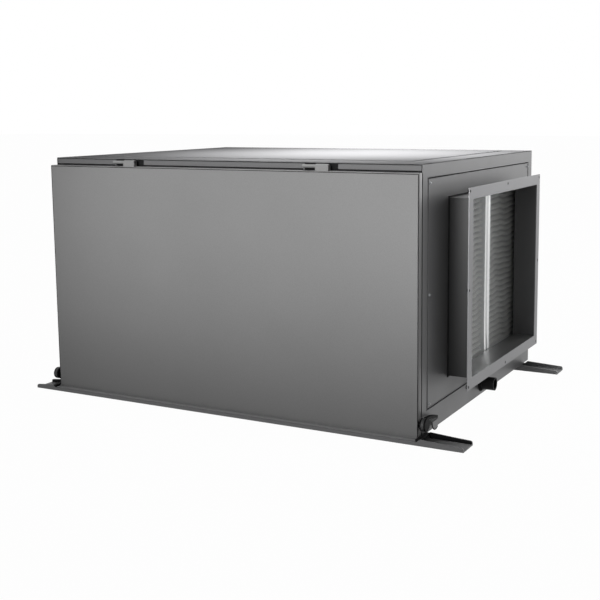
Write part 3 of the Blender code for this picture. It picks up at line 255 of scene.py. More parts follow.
def satin_powder_coat(name, tone, roughness=0.48, metallic=0.1, gloss_level=0.35):
    """Satin powder coat with metal flake, sprayed dry and baked on folded sheet.

    It gives the eye a broad soft gloss, a faint grain and no mirror image.
    """
    material, tree = blank_material(name)
    place = add(tree, "ShaderNodeTexCoord").outputs["Object"]
    # The real flake is 0.05 mm; it is drawn at 2.2 mm so that its grain shows.
    flake = patches(tree, place, 2.2 * MM, least=0.95, most=1.05)
    drift = patches(tree, place, 180 * MM, detail=3.0, least=0.975, most=1.025)
    gloss = patches(tree, place, 90 * MM, least=roughness - 0.03, most=roughness + 0.03)
    finish(tree, tinted(tree, tone, flake, drift), gloss, bump=flake, strength=0.12,
           depth=0.1 * MM, Metallic=metallic, Specular_IOR_Level=gloss_level)
    return material


def collar_coat():
    """The duct collar: grey coat on its flange, and painted shade on its walls, black outside and
    dark grey inside.

    The eye reads a black box with a bright flat rim round it.
    """
    material, tree = blank_material("collar_grey_flange_and_painted_shade_walls")
    place = add(tree, "ShaderNodeTexCoord").outputs["Object"]
    parts = add(tree, "ShaderNodeSeparateXYZ", links={"Vector": place})
    grain = patches(tree, place, 2.2 * MM, least=0.93, most=1.07)
    drift = patches(tree, place, 150 * MM, detail=3.0, least=0.96, most=1.04)

    def away(axis, middle, reach, operation):
        """Where the distance from a middle plane is more, or less, than a reach."""
        off = add(tree, "ShaderNodeMath", values={1: middle}, links={0: parts.outputs[axis]},
                  operation="SUBTRACT")
        off = add(tree, "ShaderNodeMath", links={0: off.outputs[0]}, operation="ABSOLUTE")
        return add(tree, "ShaderNodeMath", values={1: reach}, links={0: off.outputs[0]},
                   operation=operation).outputs[0]

    low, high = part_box("duct_collar_right")
    _, y, z = centre_of(low, high)
    wall = FLANGE_WIDTH - COLLAR_SHEET / 2
    flange = away("X", MIDDLE, FLANGE - MIDDLE - COLLAR_SHEET - 0.1 * MM, "GREATER_THAN")
    between = away("Y", y, (high.y - low.y) / 2 - wall, "LESS_THAN")
    under = away("Z", z, (high.z - low.z) / 2 - wall, "LESS_THAN")
    inside = add(tree, "ShaderNodeMath", links={0: between, 1: under}, operation="MULTIPLY")
    # Painted shade: the walls are the same grey sheet as the flange, coloured black outside and
    # dark grey inside to stand for the shade on them.
    painted_shade_walls = add(tree, "ShaderNodeMix", data_type="RGBA", links={0: inside.outputs[0]},
                values={MIX_FIRST: linear("#101011"), MIX_SECOND: linear("#5C5C5D")})
    rim = add(tree, "ShaderNodeMix", data_type="RGBA", values={MIX_SECOND: linear("#868688")},
              links={0: flange, MIX_FIRST: painted_shade_walls.outputs[MIXED]})
    metal = add(tree, "ShaderNodeMath", values={1: 0.5}, links={0: flange}, operation="MULTIPLY")
    finish(tree, tinted(tree, rim.outputs[MIXED], grain, drift), 0.4, bump=grain, strength=0.12,
           depth=0.1 * MM, metal=metal.outputs[0])
    return material


def galvanised_sheet():
    """Hot-dip galvanised sheet, rolled smooth.

    It is pale grey to the eye, with crystals a few millimetres wide that catch the light.
    """
    material, tree = blank_material("galvanised_sheet")
    place = add(tree, "ShaderNodeTexCoord").outputs["Object"]
    crystal = add(tree, "ShaderNodeTexVoronoi", values={"Scale": 1 / (9 * MM)},
                  links={"Vector": place})
    tone = add(tree, "ShaderNodeSeparateXYZ", links={"Vector": crystal.outputs["Color"]})
    light = add(tree, "ShaderNodeMapRange", values={"To Min": 0.84, "To Max": 1.0},
                links={"Value": tone.outputs["X"]})
    gloss = add(tree, "ShaderNodeMapRange", values={"To Min": 0.48, "To Max": 0.62},
                links={"Value": tone.outputs["Y"]})
    dull = patches(tree, place, 70 * MM, detail=4.0, least=0.93, most=1.0)
    finish(tree, tinted(tree, "#B0B2B4", light.outputs[0], dull), gloss.outputs[0], bump=dull,
           strength=0.05, Metallic=0.9)
    return material


def zinc_plate(name, tone, size):
    """Bright zinc plating on pressed or drawn steel: blue-white, with a fine drawn grain."""
    material, tree = blank_material(name)
    place = add(tree, "ShaderNodeTexCoord").outputs["Object"]
    grain = patches(tree, place, size, least=0.9, most=1.0)
    finish(tree, tinted(tree, tone, grain), 0.34, bump=grain, strength=0.06, Metallic=1.0)
    return material


def filter_fleece():
    """Polyester fleece, needled and pleated.

    It is white-grey and dull to the eye, with short tangled fibres, and its colour is darkened
    towards the bottoms of its folds as painted shade.
    """
    material, tree = blank_material("needled_polyester_fleece")
    place = add(tree, "ShaderNodeTexCoord").outputs["Object"]
    # The fibres are 0.03 mm thick; they are drawn as 1.4 mm tufts so that they show.
    tuft = patches(tree, place, 1.4 * MM, detail=4.0, least=0.86, most=1.06)
    dust = patches(tree, place, 45 * MM, detail=4.0, least=0.88, most=1.04)
    # Painted shade: the colour darkens towards the bottoms of the folds, behind the mesh, where
    # they lie deepest.
    parts = add(tree, "ShaderNodeSeparateXYZ", links={"Vector": place})
    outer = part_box("filter_media_front")[1].x
    folds = add(tree, "ShaderNodeMapRange", links={"Value": parts.outputs["X"]},
                values={"From Min": outer - 20 * MM, "From Max": outer - 8 * MM,
                        "To Min": 0.35, "To Max": 1.0})
    finish(tree, tinted(tree, "#F0F0EC", tuft, dust, folds.outputs[0]), 0.96, bump=tuft,
           strength=0.5, depth=0.5 * MM, Sheen_Weight=0.3, Sheen_Roughness=0.5)
    return material


def closed_cell_foam():
    """Black closed-cell rubber foam, cut from sheet: matt, with open cut cells."""
    material, tree = blank_material("closed_cell_rubber_foam")
    place = add(tree, "ShaderNodeTexCoord").outputs["Object"]
    # Cells of 0.8 mm are drawn at 2.6 mm so that they show.
    cell = add(tree, "ShaderNodeTexVoronoi", values={"Scale": 1 / (2.6 * MM)},
               links={"Vector": place})
    shade = add(tree, "ShaderNodeMapRange",
                values={"From Max": 0.6, "To Min": 0.75, "To Max": 1.25},
                links={"Value": cell.outputs["Distance"]})
    patch = patches(tree, place, 60 * MM, detail=3.0, least=0.85, most=1.15)
    finish(tree, tinted(tree, "#1B1B1C", shade.outputs[0], patch), 0.9,
           bump=cell.outputs["Distance"], strength=0.4, depth=0.4 * MM)
    return material


def moulded_nylon(name, tone, roughness=0.45):
    """Glass-filled black nylon, injection moulded in a spark-eroded tool.

    It is a dull black to the eye, with a fine even grain.
    """
    material, tree = blank_material(name)
    place = add(tree, "ShaderNodeTexCoord").outputs["Object"]
    grain = patches(tree, place, 0.9 * MM, least=0.9, most=1.1)
    wear = patches(tree, place, 14 * MM, detail=3.0, least=roughness - 0.05,
                   most=roughness + 0.08)
    finish(tree, tinted(tree, tone, grain), wear, bump=grain, strength=0.2, depth=0.1 * MM,
           Specular_IOR_Level=0.07)
    return material


def drawn_copper():
    """Drawn copper tube, handled and brazed: warm red metal with brown heat and finger tarnish."""
    material, tree = blank_material("drawn_copper")
    place = add(tree, "ShaderNodeTexCoord").outputs["Object"]
    tarnish = patches(tree, place, 22 * MM, detail=5.0, low=0.42, high=0.62)
    gloss = patches(tree, place, 9 * MM, least=0.22, most=0.4)
    tone = add(tree, "ShaderNodeMix", data_type="RGBA", links={0: tarnish},
               values={MIX_FIRST: linear("#C47E5E"), MIX_SECOND: linear("#8A5238")})
    finish(tree, tone.outputs[MIXED], gloss, bump=tarnish, strength=0.05, Metallic=1.0)
    return material


def coil_metals():
    """The coil's solid: aluminium fins in galvanised end plates, with copper bends outside them."""
    material, tree = blank_material("coil_aluminium_and_copper")
    place = add(tree, "ShaderNodeTexCoord").outputs["Object"]
    parts = add(tree, "ShaderNodeSeparateXYZ", links={"Vector": place})
    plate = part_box("coil_evaporator")[1].y - COIL_LENGTH
    bends = add(tree, "ShaderNodeMath", values={1: plate - 0.2 * MM},
                links={0: parts.outputs["Y"]}, operation="LESS_THAN")
    tone = add(tree, "ShaderNodeMix", data_type="RGBA", links={0: bends.outputs[0]},
               values={MIX_FIRST: linear("#A4A6A8"), MIX_SECOND: linear("#B87355")})
    stain = patches(tree, place, 30 * MM, detail=4.0, least=0.88, most=1.0)
    gloss = patches(tree, place, 12 * MM, least=0.46, most=0.58)
    finish(tree, tinted(tree, tone.outputs[MIXED], stain), gloss, bump=stain, strength=0.05,
           Metallic=1.0)
    return material


def mill_aluminium():
    """Thin mill-finish aluminium, rolled: bright, a little streaked along the roll."""
    material, tree = blank_material("mill_finish_aluminium")
    place = add(tree, "ShaderNodeTexCoord").outputs["Object"]
    streak = patches(tree, place, 8 * MM, detail=3.0, least=0.9, most=1.0)
    finish(tree, tinted(tree, "#A9ABAD", streak), 0.5, Metallic=1.0)
    return material


def stove_enamel(name, tone):
    """Black stove enamel over a welded shell: glossy, with the slight peel of dipped paint."""
    material, tree = blank_material(name)
    place = add(tree, "ShaderNodeTexCoord").outputs["Object"]
    peel = patches(tree, place, 5 * MM, least=0.94, most=1.06)
    gloss = patches(tree, place, 30 * MM, detail=3.0, least=0.24, most=0.36)
    finish(tree, tinted(tree, tone, peel), gloss, bump=peel, strength=0.15, depth=0.2 * MM)
    return material


# Shaping


def centre_of(low, high):
    """The point halfway between a box's two corners."""
    return [(start + end) / 2 for start, end in zip(low, high)]


def outer_x(side, low, high):
    """The x of a box's face that looks out of the cabinet on one side."""
    return high.x if side == "right" else low.x


def faced(direction, centre):
    """The frame of a shape that faces one way from a point."""
    return Matrix.Translation(centre) @ ACROSS[direction]


def round_edges(work, verts, rounding):
    """Round every edge that meets these corners."""
    edges = list({edge for vert in verts for edge in vert.link_edges})
    bmesh.ops.bevel(work, geom=edges, offset=rounding, segments=2, profile=0.5, affect="EDGES",
                    material=-1)


def box(work, low, high, rounding=0.0):
    """A box between two corners; gives back its corners while they are still sharp."""
    low = Vector(low)
    high = Vector(high)
    size = Matrix.Diagonal((*(high - low), 1.0))
    made = bmesh.ops.create_cube(work, size=1.0,
                                 matrix=Matrix.Translation((low + high) / 2) @ size)
    if rounding:
        round_edges(work, made["verts"], rounding)
        return []
    return made["verts"]


def ring(work, base, width, height, border, depth, rounding=0.0):
    """A rectangular ring on a frame: its outer size, the width of its border and its depth."""
    made = bmesh.ops.create_grid(work, x_segments=1, y_segments=1, size=0.5,
                                 matrix=base @ Matrix.Diagonal((width, height, 1.0, 1.0)))
    face = made["verts"][0].link_faces[0]
    border_faces = bmesh.ops.inset_region(work, faces=[face], thickness=border,
                                          use_even_offset=True, use_boundary=True)["faces"]
    bmesh.ops.delete(work, geom=[face], context="FACES_ONLY")
    raised = bmesh.ops.extrude_face_region(work, geom=border_faces)["geom"]
    verts = [part for part in raised if isinstance(part, bmesh.types.BMVert)]
    bmesh.ops.translate(work, verts=verts, vec=base.to_3x3() @ Vector((0.0, 0.0, depth)))
    if rounding:
        edges = {edge for vert in verts for edge in vert.link_edges
                 if edge.other_vert(vert) in verts}
        sharp = [edge for edge in edges if edge.calc_face_angle(0.0) > 1.0]
        bmesh.ops.bevel(work, geom=sharp, offset=rounding, segments=3, profile=0.5,
                        affect="EDGES", material=-1)


def turned(work, base, profile, steps=24):
    """A profile of (radius, height) spun about a frame's height.

    It is closed into a ring where it leaves the middle free.
    """
    verts = [work.verts.new(base @ Vector((radius, 0.0, height))) for radius, height in profile]
    edges = [work.edges.new(pair) for pair in zip(verts, verts[1:])]
    if profile[0][0] > 0.0:
        edges.append(work.edges.new((verts[-1], verts[0])))
    bmesh.ops.spin(work, geom=verts + edges, cent=base.translation,
                   axis=base.to_3x3() @ Vector((0.0, 0.0, 1.0)), angle=2 * math.pi, steps=steps,
                   use_merge=True, use_duplicate=False)


def stub(work, base, foot, depth, wide, narrow, sides):
    """A short cone or prism on a frame, from its foot up."""
    bmesh.ops.create_cone(work, cap_ends=True, segments=sides, radius1=wide, radius2=narrow,
                          depth=depth,
                          matrix=base @ Matrix.Translation((0.0, 0.0, foot + depth / 2)))


def hex_screw(work, base, size):
    """A hexagon-head sheet screw on its pressed washer, size being the washer's radius."""
    washer = size * 0.3
    stub(work, base, 0.0, washer, size, size * 0.88, 16)
    stub(work, base, washer, size * 0.6, size * 0.6, size * 0.52, 6)


def pan_screw(work, base, size):
    """A low round screw head with a dimple in it, size being its radius."""
    turned(work, base, [(0.0, size * 0.45), (size * 0.2, size * 0.45), (size * 0.3, size * 0.6),
                        (size * 0.7, size * 0.5), (size, size * 0.15), (size, 0.0), (0.0, 0.0)],
           steps=14)


def smooth_route(corners, radius, steps=4):
    """A route through corners with a round bend at each inner one."""
    route = [Vector(corners[0])]
    for before, corner, after in zip(corners, corners[1:], corners[2:]):
        corner = Vector(corner)
        arrive = (Vector(before) - corner).normalized() * radius
        leave = (Vector(after) - corner).normalized() * radius
        for step in range(steps + 1):
            turn = math.pi / 2 * step / steps
            route.append(corner + arrive * (1 - math.sin(turn)) + leave * (1 - math.cos(turn)))
    route.append(Vector(corners[-1]))
    return [tuple(point) for point in route]


def tube(work, route, radius, sides=3):
    """A round rod or pipe along a route of points."""
    curve = bpy.data.curves.new("route", "CURVE")
    curve.dimensions = "3D"
    curve.bevel_depth = radius
    curve.bevel_resolution = sides
    curve.use_fill_caps = True
    spline = curve.splines.new("POLY")
    spline.points.add(len(route) - 1)
    for point, place in zip(spline.points, route):
        point.co = (*place, 1.0)
    guide = bpy.data.objects.new("route", curve)
    bpy.context.scene.collection.objects.link(guide)
    bpy.context.view_layer.update()
    seen = guide.evaluated_get(bpy.context.evaluated_depsgraph_get())
    mesh = bpy.data.meshes.new_from_object(seen)
    work.from_mesh(mesh)
    bpy.data.objects.remove(guide, do_unlink=True)
    bpy.data.curves.remove(curve)
    bpy.data.meshes.remove(mesh)


def settle(work, name, material, body, slot, *stands_for):
    """Close a shape into a piece of the dryer that moves with one body."""
    bmesh.ops.remove_doubles(work, verts=work.verts, dist=0.01 * MM)
    bmesh.ops.recalc_face_normals(work, faces=work.faces)
    mesh = bpy.data.meshes.new(name)
    work.to_mesh(mesh)
    work.free()
    mesh.materials.append(material)
    mesh.shade_smooth()
    mesh.set_sharp_from_angle(angle=math.radians(35))
    piece = bpy.data.objects.new(name, mesh)
    bpy.context.scene.collection.objects.link(piece)
    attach(piece, body)
    if stands_for:
        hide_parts(*stands_for)
    return piece


# Filters


def filter_rim(side):
    """A folded rim with rounded edges, and room to slide it out past the other filter."""
    low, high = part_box("filter_frame_" + side)
    _, y, z = centre_of(low, high)
    play = 2.2 * MM
    work = bmesh.new()
    ring(work, faced("+X", (low.x, y, z)), high.y - low.y - 2 * play, high.z - low.z,
         RIM_BORDER - play, high.x - low.x, rounding=2.5 * MM)
    settle(work, "filter_rim_" + side, RIM_METAL, "cabinet", "galvanised_steel",
           "filter_frame_" + side)


def filter_pleats(side):
    """The cloth in soft level folds, each a little uneven along its length."""
    low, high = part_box("filter_media_" + side)
    folds = 28
    rows_per_fold = 8
    swing = 8.5 * MM
    cloth = 1.2 * MM
    centre = high.x - swing - 3 * MM
    work = bmesh.new()
    bmesh.ops.create_grid(work, x_segments=20, y_segments=folds * rows_per_fold, size=0.5)
    for vert in work.verts:
        along = vert.co.x + 0.5
        up = vert.co.y + 0.5
        wander = 0.2 * math.sin(9.0 * along + 1.7) + 0.12 * math.sin(21.0 * along + 9.0 * up)
        turn = 2 * math.pi * (folds * up + wander)
        fullness = 0.88 + 0.12 * math.sin(31.0 * along + 5 * up)
        vert.co = (centre + swing * math.sin(turn) * fullness, low.y + along * (high.y - low.y),
                   low.z + up * (high.z - low.z))
    bmesh.ops.solidify(work, geom=list(work.faces), thickness=cloth)
    settle(work, "filter_pleats_" + side, FLEECE, "cabinet", "filter_cloth",
           "filter_media_" + side)


def filter_mesh(side):
    """The expanded-metal guard in the rim: flat diamonds 14.5 mm long and 6.3 mm high."""
    low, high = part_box("filter_frame_" + side)
    low_y = low.y + RIM_BORDER
    low_z = low.z + RIM_BORDER
    width = high.y - low.y - 2 * RIM_BORDER
    height = high.z - low.z - 2 * RIM_BORDER
    inset = 3 * MM
    strand = 0.55 * MM
    sheet = 0.6 * MM
    rise = 6.3 * MM
    slope = rise / (14.5 * MM)
    lean = math.atan(slope)
    work = bmesh.new()
    for slant in (1, -1):
        for index in range(int((height + slope * width) / rise) + 1):
            if slant > 0:
                foot = index * rise - slope * width
                start = max(0.0, -foot / slope)
                end = min(width, (height - foot) / slope)
            else:
                foot = index * rise
                start = max(0.0, (foot - height) / slope)
                end = min(width, foot / slope)
            if end - start < 2 * strand:
                continue
            along = (start + end) / 2
            middle = Vector((high.x - inset - (sheet / 2 if slant < 0 else 0.0), low_y + along,
                             low_z + foot + slant * slope * along))
            turn = Matrix.Rotation(slant * lean, 4, "X")
            size = Matrix.Diagonal((sheet, (end - start) / math.cos(lean), strand, 1.0))
            bmesh.ops.create_cube(work, size=1.0, matrix=Matrix.Translation(middle) @ turn @ size)
    settle(work, "filter_metal_mesh_" + side, MESH_METAL, "cabinet", "galvanised_steel")


# The cabinet's sides


def panel_screws(side):
    """Three screws down each upright edge of a service panel."""
    low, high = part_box("service_panel_" + side)
    inset = 10 * MM
    work = bmesh.new()
    for y in (low.y + inset, high.y - inset):
        for z in (low.z + inset, (low.z + high.z) / 2, high.z - inset):
            hex_screw(work, faced(OUT[side], (outer_x(side, low, high), y, z)), 4.2 * MM)
    settle(work, "panel_screws_" + side, SCREW_ZINC, "cabinet", "galvanised_steel")


def edge_folds(side):
    """The small round folds on both sides of a service panel's joint, which catch the light."""
    low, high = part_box("service_panel_" + side)
    _, y, z = centre_of(low, high)
    base = faced(OUT[side], (outer_x(side, low, high), y, z))
    fold = 1.8 * MM
    rise = 0.7 * MM
    joint = 3.5 * MM
    work = bmesh.new()
    for outside in (0.0, 2 * (joint + fold)):
        ring(work, base, high.y - low.y + outside, high.z - low.z + outside, fold, rise,
             rounding=0.6 * MM)
    settle(work, "panel_edge_folds_" + side, CABINET_COAT, "cabinet", "cabinet_powder_coat")


def collar_bead(side):
    """The sealant bead round a collar's root on its panel."""
    low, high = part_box("duct_collar_" + side)
    _, y, z = centre_of(low, high)
    root = SIDE_RIGHT if side == "right" else SIDE_LEFT
    bead = 4 * MM
    rise = 2.5 * MM
    beyond = 2 * bead - 2 * (FLANGE_WIDTH - COLLAR_SHEET)
    work = bmesh.new()
    ring(work, faced(OUT[side], (root, y, z)), high.y - low.y + beyond, high.z - low.z + beyond,
         bead, rise, rounding=2 * MM)
    settle(work, "collar_sealant_" + side, GREY_SEALANT, "cabinet", "black_rubber")


def flange_nuts(side):
    """Black nuts behind the eight holes of a duct flange, each with a black cap in its hole,
    painted shade that makes the hole read dark.
    """
    low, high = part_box("duct_collar_" + side)
    _, middle_y, middle_z = centre_of(low, high)
    edge = 8.5 * MM
    cap = 1.7 * MM
    plane = high.x - COLLAR_SHEET if side == "right" else low.x + COLLAR_SHEET
    work = bmesh.new()
    for y in (low.y + edge, middle_y, high.y - edge):
        for z in (low.z + edge, middle_z, high.z - edge):
            if (y, z) != (middle_y, middle_z):
                base = faced(IN[side], (plane, y, z))
                stub(work, base, 0.0, 4 * MM, 6.5 * MM, 6 * MM, 6)
                # Painted shade: the black cap fills the hole so that it reads as a dark hole.
                stub(work, base, -0.05 * MM - cap, cap, 3.6 * MM, 3.9 * MM, 16)
    settle(work, "flange_nuts_" + side, NYLON, "cabinet", "black_plastic")


def drain_washer():
    """The flat washer between the drain outlet's nut and the cabinet's side."""
    _, y, z = centre_of(*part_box("drain_spigot"))
    bore = 18.6 * MM
    rim = 25.5 * MM
    foot = 0.2 * MM
    top = 2 * MM
    work = bmesh.new()
    turned(work, faced("+X", (SIDE_RIGHT, y, z)),
           [(bore, foot), (rim, foot), (rim, 1.4 * MM), (24.5 * MM, top), (bore, top)], steps=32)
    settle(work, "drain_washer", BLACK_SEALANT_AND_SHADE, "cabinet", "black_rubber")


# The door, its latches and the header


def door_edge_shade_line():
    """Dark strips along the door's top and upright edges, painted shade for the line where its face
    bends round into its folded edge.
    """
    low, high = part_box("front_door")
    width = 1.7 * MM
    proud = low.y - 0.3 * MM
    top = high.z - 1.6 * MM
    work = bmesh.new()
    box(work, (low.x, proud, top - width), (high.x, low.y + 1 * MM, top))
    for x in (low.x, high.x - width):
        box(work, (x, proud, low.z), (x + width, low.y + 1.5 * MM, top))
    settle(work, "door_edge_shade_line", PAINTED_SHADE_LINE, "door", "black_rubber")


def door_edge_highlight_strips():
    """Pale strips on the door's two upright edges, above the latches: a painted highlight where
    those edges catch the light.
    """
    low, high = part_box("front_door")
    front = low.y + 1.6 * MM
    back = high.y - 0.8 * MM
    foot = low.z + 43 * MM
    top = high.z - 1 * MM
    sunk = 0.4 * MM
    proud = 0.5 * MM
    work = bmesh.new()
    for x, out in ((low.x, -1), (high.x, 1)):
        left, right = sorted((x - out * sunk, x + out * proud))
        box(work, (left, front, foot), (right, back, top), rounding=0.4 * MM)
    settle(work, "door_edge_highlight_strips", PAINTED_HIGHLIGHT_COAT, "door", "door_powder_coat")


def door_bottom_lip():
    """The drip fold under the door, which hangs down to just above the front rail."""
    low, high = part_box("front_door")
    drop = 4.2 * MM
    work = bmesh.new()
    box(work, (low.x, low.y, low.z - drop), (high.x, high.y, low.z))
    settle(work, "door_bottom_lip", DOOR_COAT, "door", "door_powder_coat")


def door_seal():
    """The bulb seal round the inside of the door."""
    low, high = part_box("door_liner")
    x, _, z = centre_of(low, high)
    inset = 14 * MM
    bulb = 11 * MM
    rise = 6 * MM
    work = bmesh.new()
    ring(work, faced("+Y", (x, high.y, z)), high.x - low.x - 2 * inset, high.z - low.z - 2 * inset,
         bulb, rise, rounding=4 * MM)
    settle(work, "door_bulb_seal", BLACK_SEALANT_AND_SHADE, "door", "black_rubber")


def latch_bands(side):
    """The grey band let into the middle of a black latch knob's rim, a painted highlight across the
    knob.
    """
    low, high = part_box("latch_knob_" + side)
    radius = 16.5 * MM
    inset = 4 * MM
    width = 7 * MM
    sunk = radius - 1 * MM
    proud = radius + 0.35 * MM
    near = low.x + inset if side == "right" else high.x - inset
    work = bmesh.new()
    turned(work, faced(OUT[side], (near, low.y + radius, low.z + radius)),
           [(sunk, 0.0), (proud, 0.0), (proud, width), (sunk, width)], steps=40)
    settle(work, "latch_band_" + side, HIGHLIGHT_BAND_COAT, "latch_" + side, "cabinet_powder_coat")


def keeper_edge_shade(side):
    """A black rod round the front and lower edge of a latch keeper's rounded tab, painted shade
    along that edge.
    """
    low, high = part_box("latch_keeper_" + side)
    inset = 0.8 * MM
    gap = 0.6 * MM
    x = high.x - inset if side == "right" else low.x + inset
    half = (high.y - low.y) / 2
    y = low.y + half
    z = low.z + half
    route = [(x, low.y - gap, high.z - 2 * MM), (x, low.y - gap, z)]
    for step in range(1, 12):
        angle = math.radians(180 + 11.5 * step)
        route.append((x, y + (half + gap) * math.cos(angle), z + (half + gap) * math.sin(angle)))
    # Painted shade: a black rod laid where the tab's edge lies in shade.
    work = bmesh.new()
    tube(work, route, 1.5 * MM)
    settle(work, "keeper_edge_shade_" + side, BLACK_SEALANT_AND_SHADE, "cabinet", "black_rubber")


def header_strips_and_painted_shadow():
    """The black strips over and under the header, and the joints at its ends; the lower strips are
    painted shadow between the header and the door.

    The lower strip stops at each hinge.
    """
    low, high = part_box("header")
    front = low.y - 0.6 * MM
    back = low.y + 1 * MM
    foot = low.z + HEADER_GAP
    end_joint = 1.8 * MM
    work = bmesh.new()
    box(work, (low.x, front, high.z - HEADER_STRIP), (high.x, back, high.z))
    stops = [low.x]
    for side in ("left", "right"):
        near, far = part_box("hinge_pin_half_" + side)
        stops += [near.x, far.x]
    stops.append(high.x)
    # Painted shadow: the lower strips stand for the shadow between the header's foot and the door's
    # top.
    for start, end in zip(stops[::2], stops[1::2]):
        box(work, (start, front, foot), (end, back, low.z + 4.6 * MM))
    for x in (low.x, high.x - end_joint):
        box(work, (x, front, foot), (x + end_joint, back, high.z))
    settle(work, "header_strips_and_painted_shadow", BLACK_SEALANT_AND_SHADE, "cabinet", "black_rubber")


def hinge_notch_shade(side):
    """A black block round a hinge in the header's notch, painted shade for the dark recess that the
    hinge sits in.
    """
    near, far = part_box("hinge_pin_half_" + side)
    low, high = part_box("header")
    inset = 4 * MM
    lap = 3 * MM
    proud = 0.7 * MM
    depth = 3.4 * MM
    work = bmesh.new()
    box(work, (near.x + inset, low.y - proud, low.z + HEADER_GAP),
        (far.x + lap, low.y + depth, high.z - HEADER_STRIP), rounding=0.3 * MM)
    settle(work, "hinge_notch_shade_" + side, BLACK_SEALANT_AND_SHADE, "cabinet", "black_plastic")


# The rails and the back


def rail_painted_shade():
    """Black pieces in the front rail beside the cabinet, painted shade where the rail lies dark.

    Each end has a block by the cabinet, painted contact shade, and a strip over the rail's rear
    wall, painted shade along the channel's far side.
    """
    low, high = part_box("front_rail")
    gap = 0.2 * MM
    shade_block_end = 14 * MM
    shade_block_foot = RAIL_COVER
    shade_block_top = 16.6 * MM
    shade_strip_front = high.y - RAIL_WALL - 1.6 * MM
    shade_strip_back = high.y + 0.8 * MM
    shade_strip_foot = 3.2 * MM
    shade_strip_top = 17.8 * MM
    cut = 7.4 * MM
    work = bmesh.new()
    for near, end, out in ((SIDE_RIGHT, high.x, 1), (SIDE_LEFT, low.x, -1)):
        left, right = sorted((near + out * 0.5 * MM, near + out * shade_block_end))
        box(work, (left, low.y + gap, shade_block_foot), (right, high.y - gap, shade_block_top),
            rounding=1 * MM)
        left, right = sorted((near + out * shade_block_end, end - out * 1.5 * MM))
        shade_strip = box(work, (left, shade_strip_front, shade_strip_foot), (right, shade_strip_back, shade_strip_top))
        # The rail's rear wall is cut lower towards its end, and the painted shade strip follows it.
        for vert in shade_strip:
            if vert.co.z > (shade_strip_foot + shade_strip_top) / 2 and abs(vert.co.x - end) < 3 * MM:
                vert.co.z -= cut
        round_edges(work, shade_strip, 0.8 * MM)
    settle(work, "rail_painted_shade_blocks", BLACK_SEALANT_AND_SHADE, "cabinet", "black_rubber")


def rail_cover():
    """The flat cover that lies in the front rail's channel all along the door; its pale coat is
    painted light.
    """
    low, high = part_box("front_rail")
    sheet = 1.6 * MM
    work = bmesh.new()
    box(work, (SIDE_LEFT, low.y + RAIL_WALL, RAIL_COVER - sheet),
        (SIDE_RIGHT, high.y - RAIL_WALL, RAIL_COVER), rounding=0.3 * MM)
    settle(work, "front_rail_cover", PAINTED_LIGHT_COVER_COAT, "cabinet", "rail_powder_coat")


def back_sheet():
    """The back sheet, with a screwed border and a field pressed in to stiffen it."""
    low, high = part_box("back_panel")
    x, _, z = centre_of(low, high)
    border = 34 * MM
    slope = 10 * MM
    pressed = 4 * MM
    sheet = 0.8 * MM
    outer = high.y - 1.6 * MM
    inset = 12 * MM
    head = 2.2 * MM
    work = bmesh.new()
    size = Matrix.Diagonal((high.x - low.x, high.z - low.z, 1.0, 1.0))
    made = bmesh.ops.create_grid(work, x_segments=1, y_segments=1, size=0.5,
                                 matrix=faced("+Y", (x, outer, z)) @ size)
    field = made["verts"][0].link_faces[0]
    for step in (border, slope):
        bmesh.ops.inset_region(work, faces=[field], thickness=step, use_even_offset=True,
                               use_boundary=True)
    bmesh.ops.translate(work, verts=field.verts, vec=(0.0, -pressed, 0.0))
    bmesh.ops.recalc_face_normals(work, faces=work.faces)
    bmesh.ops.solidify(work, geom=list(work.faces), thickness=sheet)
    settle(work, "back_sheet", CABINET_COAT, "cabinet", "cabinet_powder_coat", "back_panel")
    work = bmesh.new()
    places = [(low.x + inset + (high.x - low.x - 2 * inset) * column / 6, row)
              for column in range(7) for row in (low.z + inset, high.z - inset)]
    places += [(edge, low.z + (high.z - low.z) * share)
               for edge in (low.x + inset, high.x - inset) for share in (0.25, 0.5, 0.75)]
    for across, up in places:
        pan_screw(work, faced("+Y", (across, outer, up)), head)
    settle(work, "back_screws", SCREW_ZINC, "cabinet", "galvanised_steel")


# Inside


def coil_fins(node):
    """The coil's thin aluminium fins, standing a little proud of the block on both its faces."""
    low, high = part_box(node)
    lap = 6 * MM
    proud = 1.2 * MM
    fin = 0.6 * MM
    # Fins really stand 2 mm apart; they are drawn 5 mm apart so that each one shows.
    pitch = 5 * MM
    work = bmesh.new()
    for index in range(int((COIL_LENGTH - 2 * lap) / pitch)):
        y = high.y - COIL_LENGTH + lap + pitch * index
        box(work, (low.x + lap - proud, y, low.z + lap),
            (high.x - lap + proud, y + fin, high.z - lap))
    settle(work, node + "_fins", FIN_METAL, "cabinet", "coil_fins_and_tube")


def coil_plates(node):
    """The coil's galvanised end plate, with its holes for the bends drawn up into collars."""
    low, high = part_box(node)
    x, _, z = centre_of(low, high)
    face = high.y - COIL_LENGTH
    margin = 30 * MM
    pitch = 50 * MM
    bend = 25 * MM
    collar = [(5 * MM, 0.0), (8 * MM, 0.0), (6.2 * MM, 1.6 * MM), (5 * MM, 1.6 * MM)]
    work = bmesh.new()
    ring(work, faced("-Y", (x, face, z)), high.x - low.x, high.z - low.z, 7 * MM, 1.4 * MM,
         rounding=0.5 * MM)
    for index in range(int((high.z - low.z - 2 * margin) / pitch)):
        for rise in (0.0, bend):
            hole = (x - 14 * MM, face, low.z + margin + index * pitch + rise)
            turned(work, faced("-Y", hole), collar, steps=14)
    settle(work, node + "_end_plate", GALVANISED, "cabinet", "galvanised_steel")


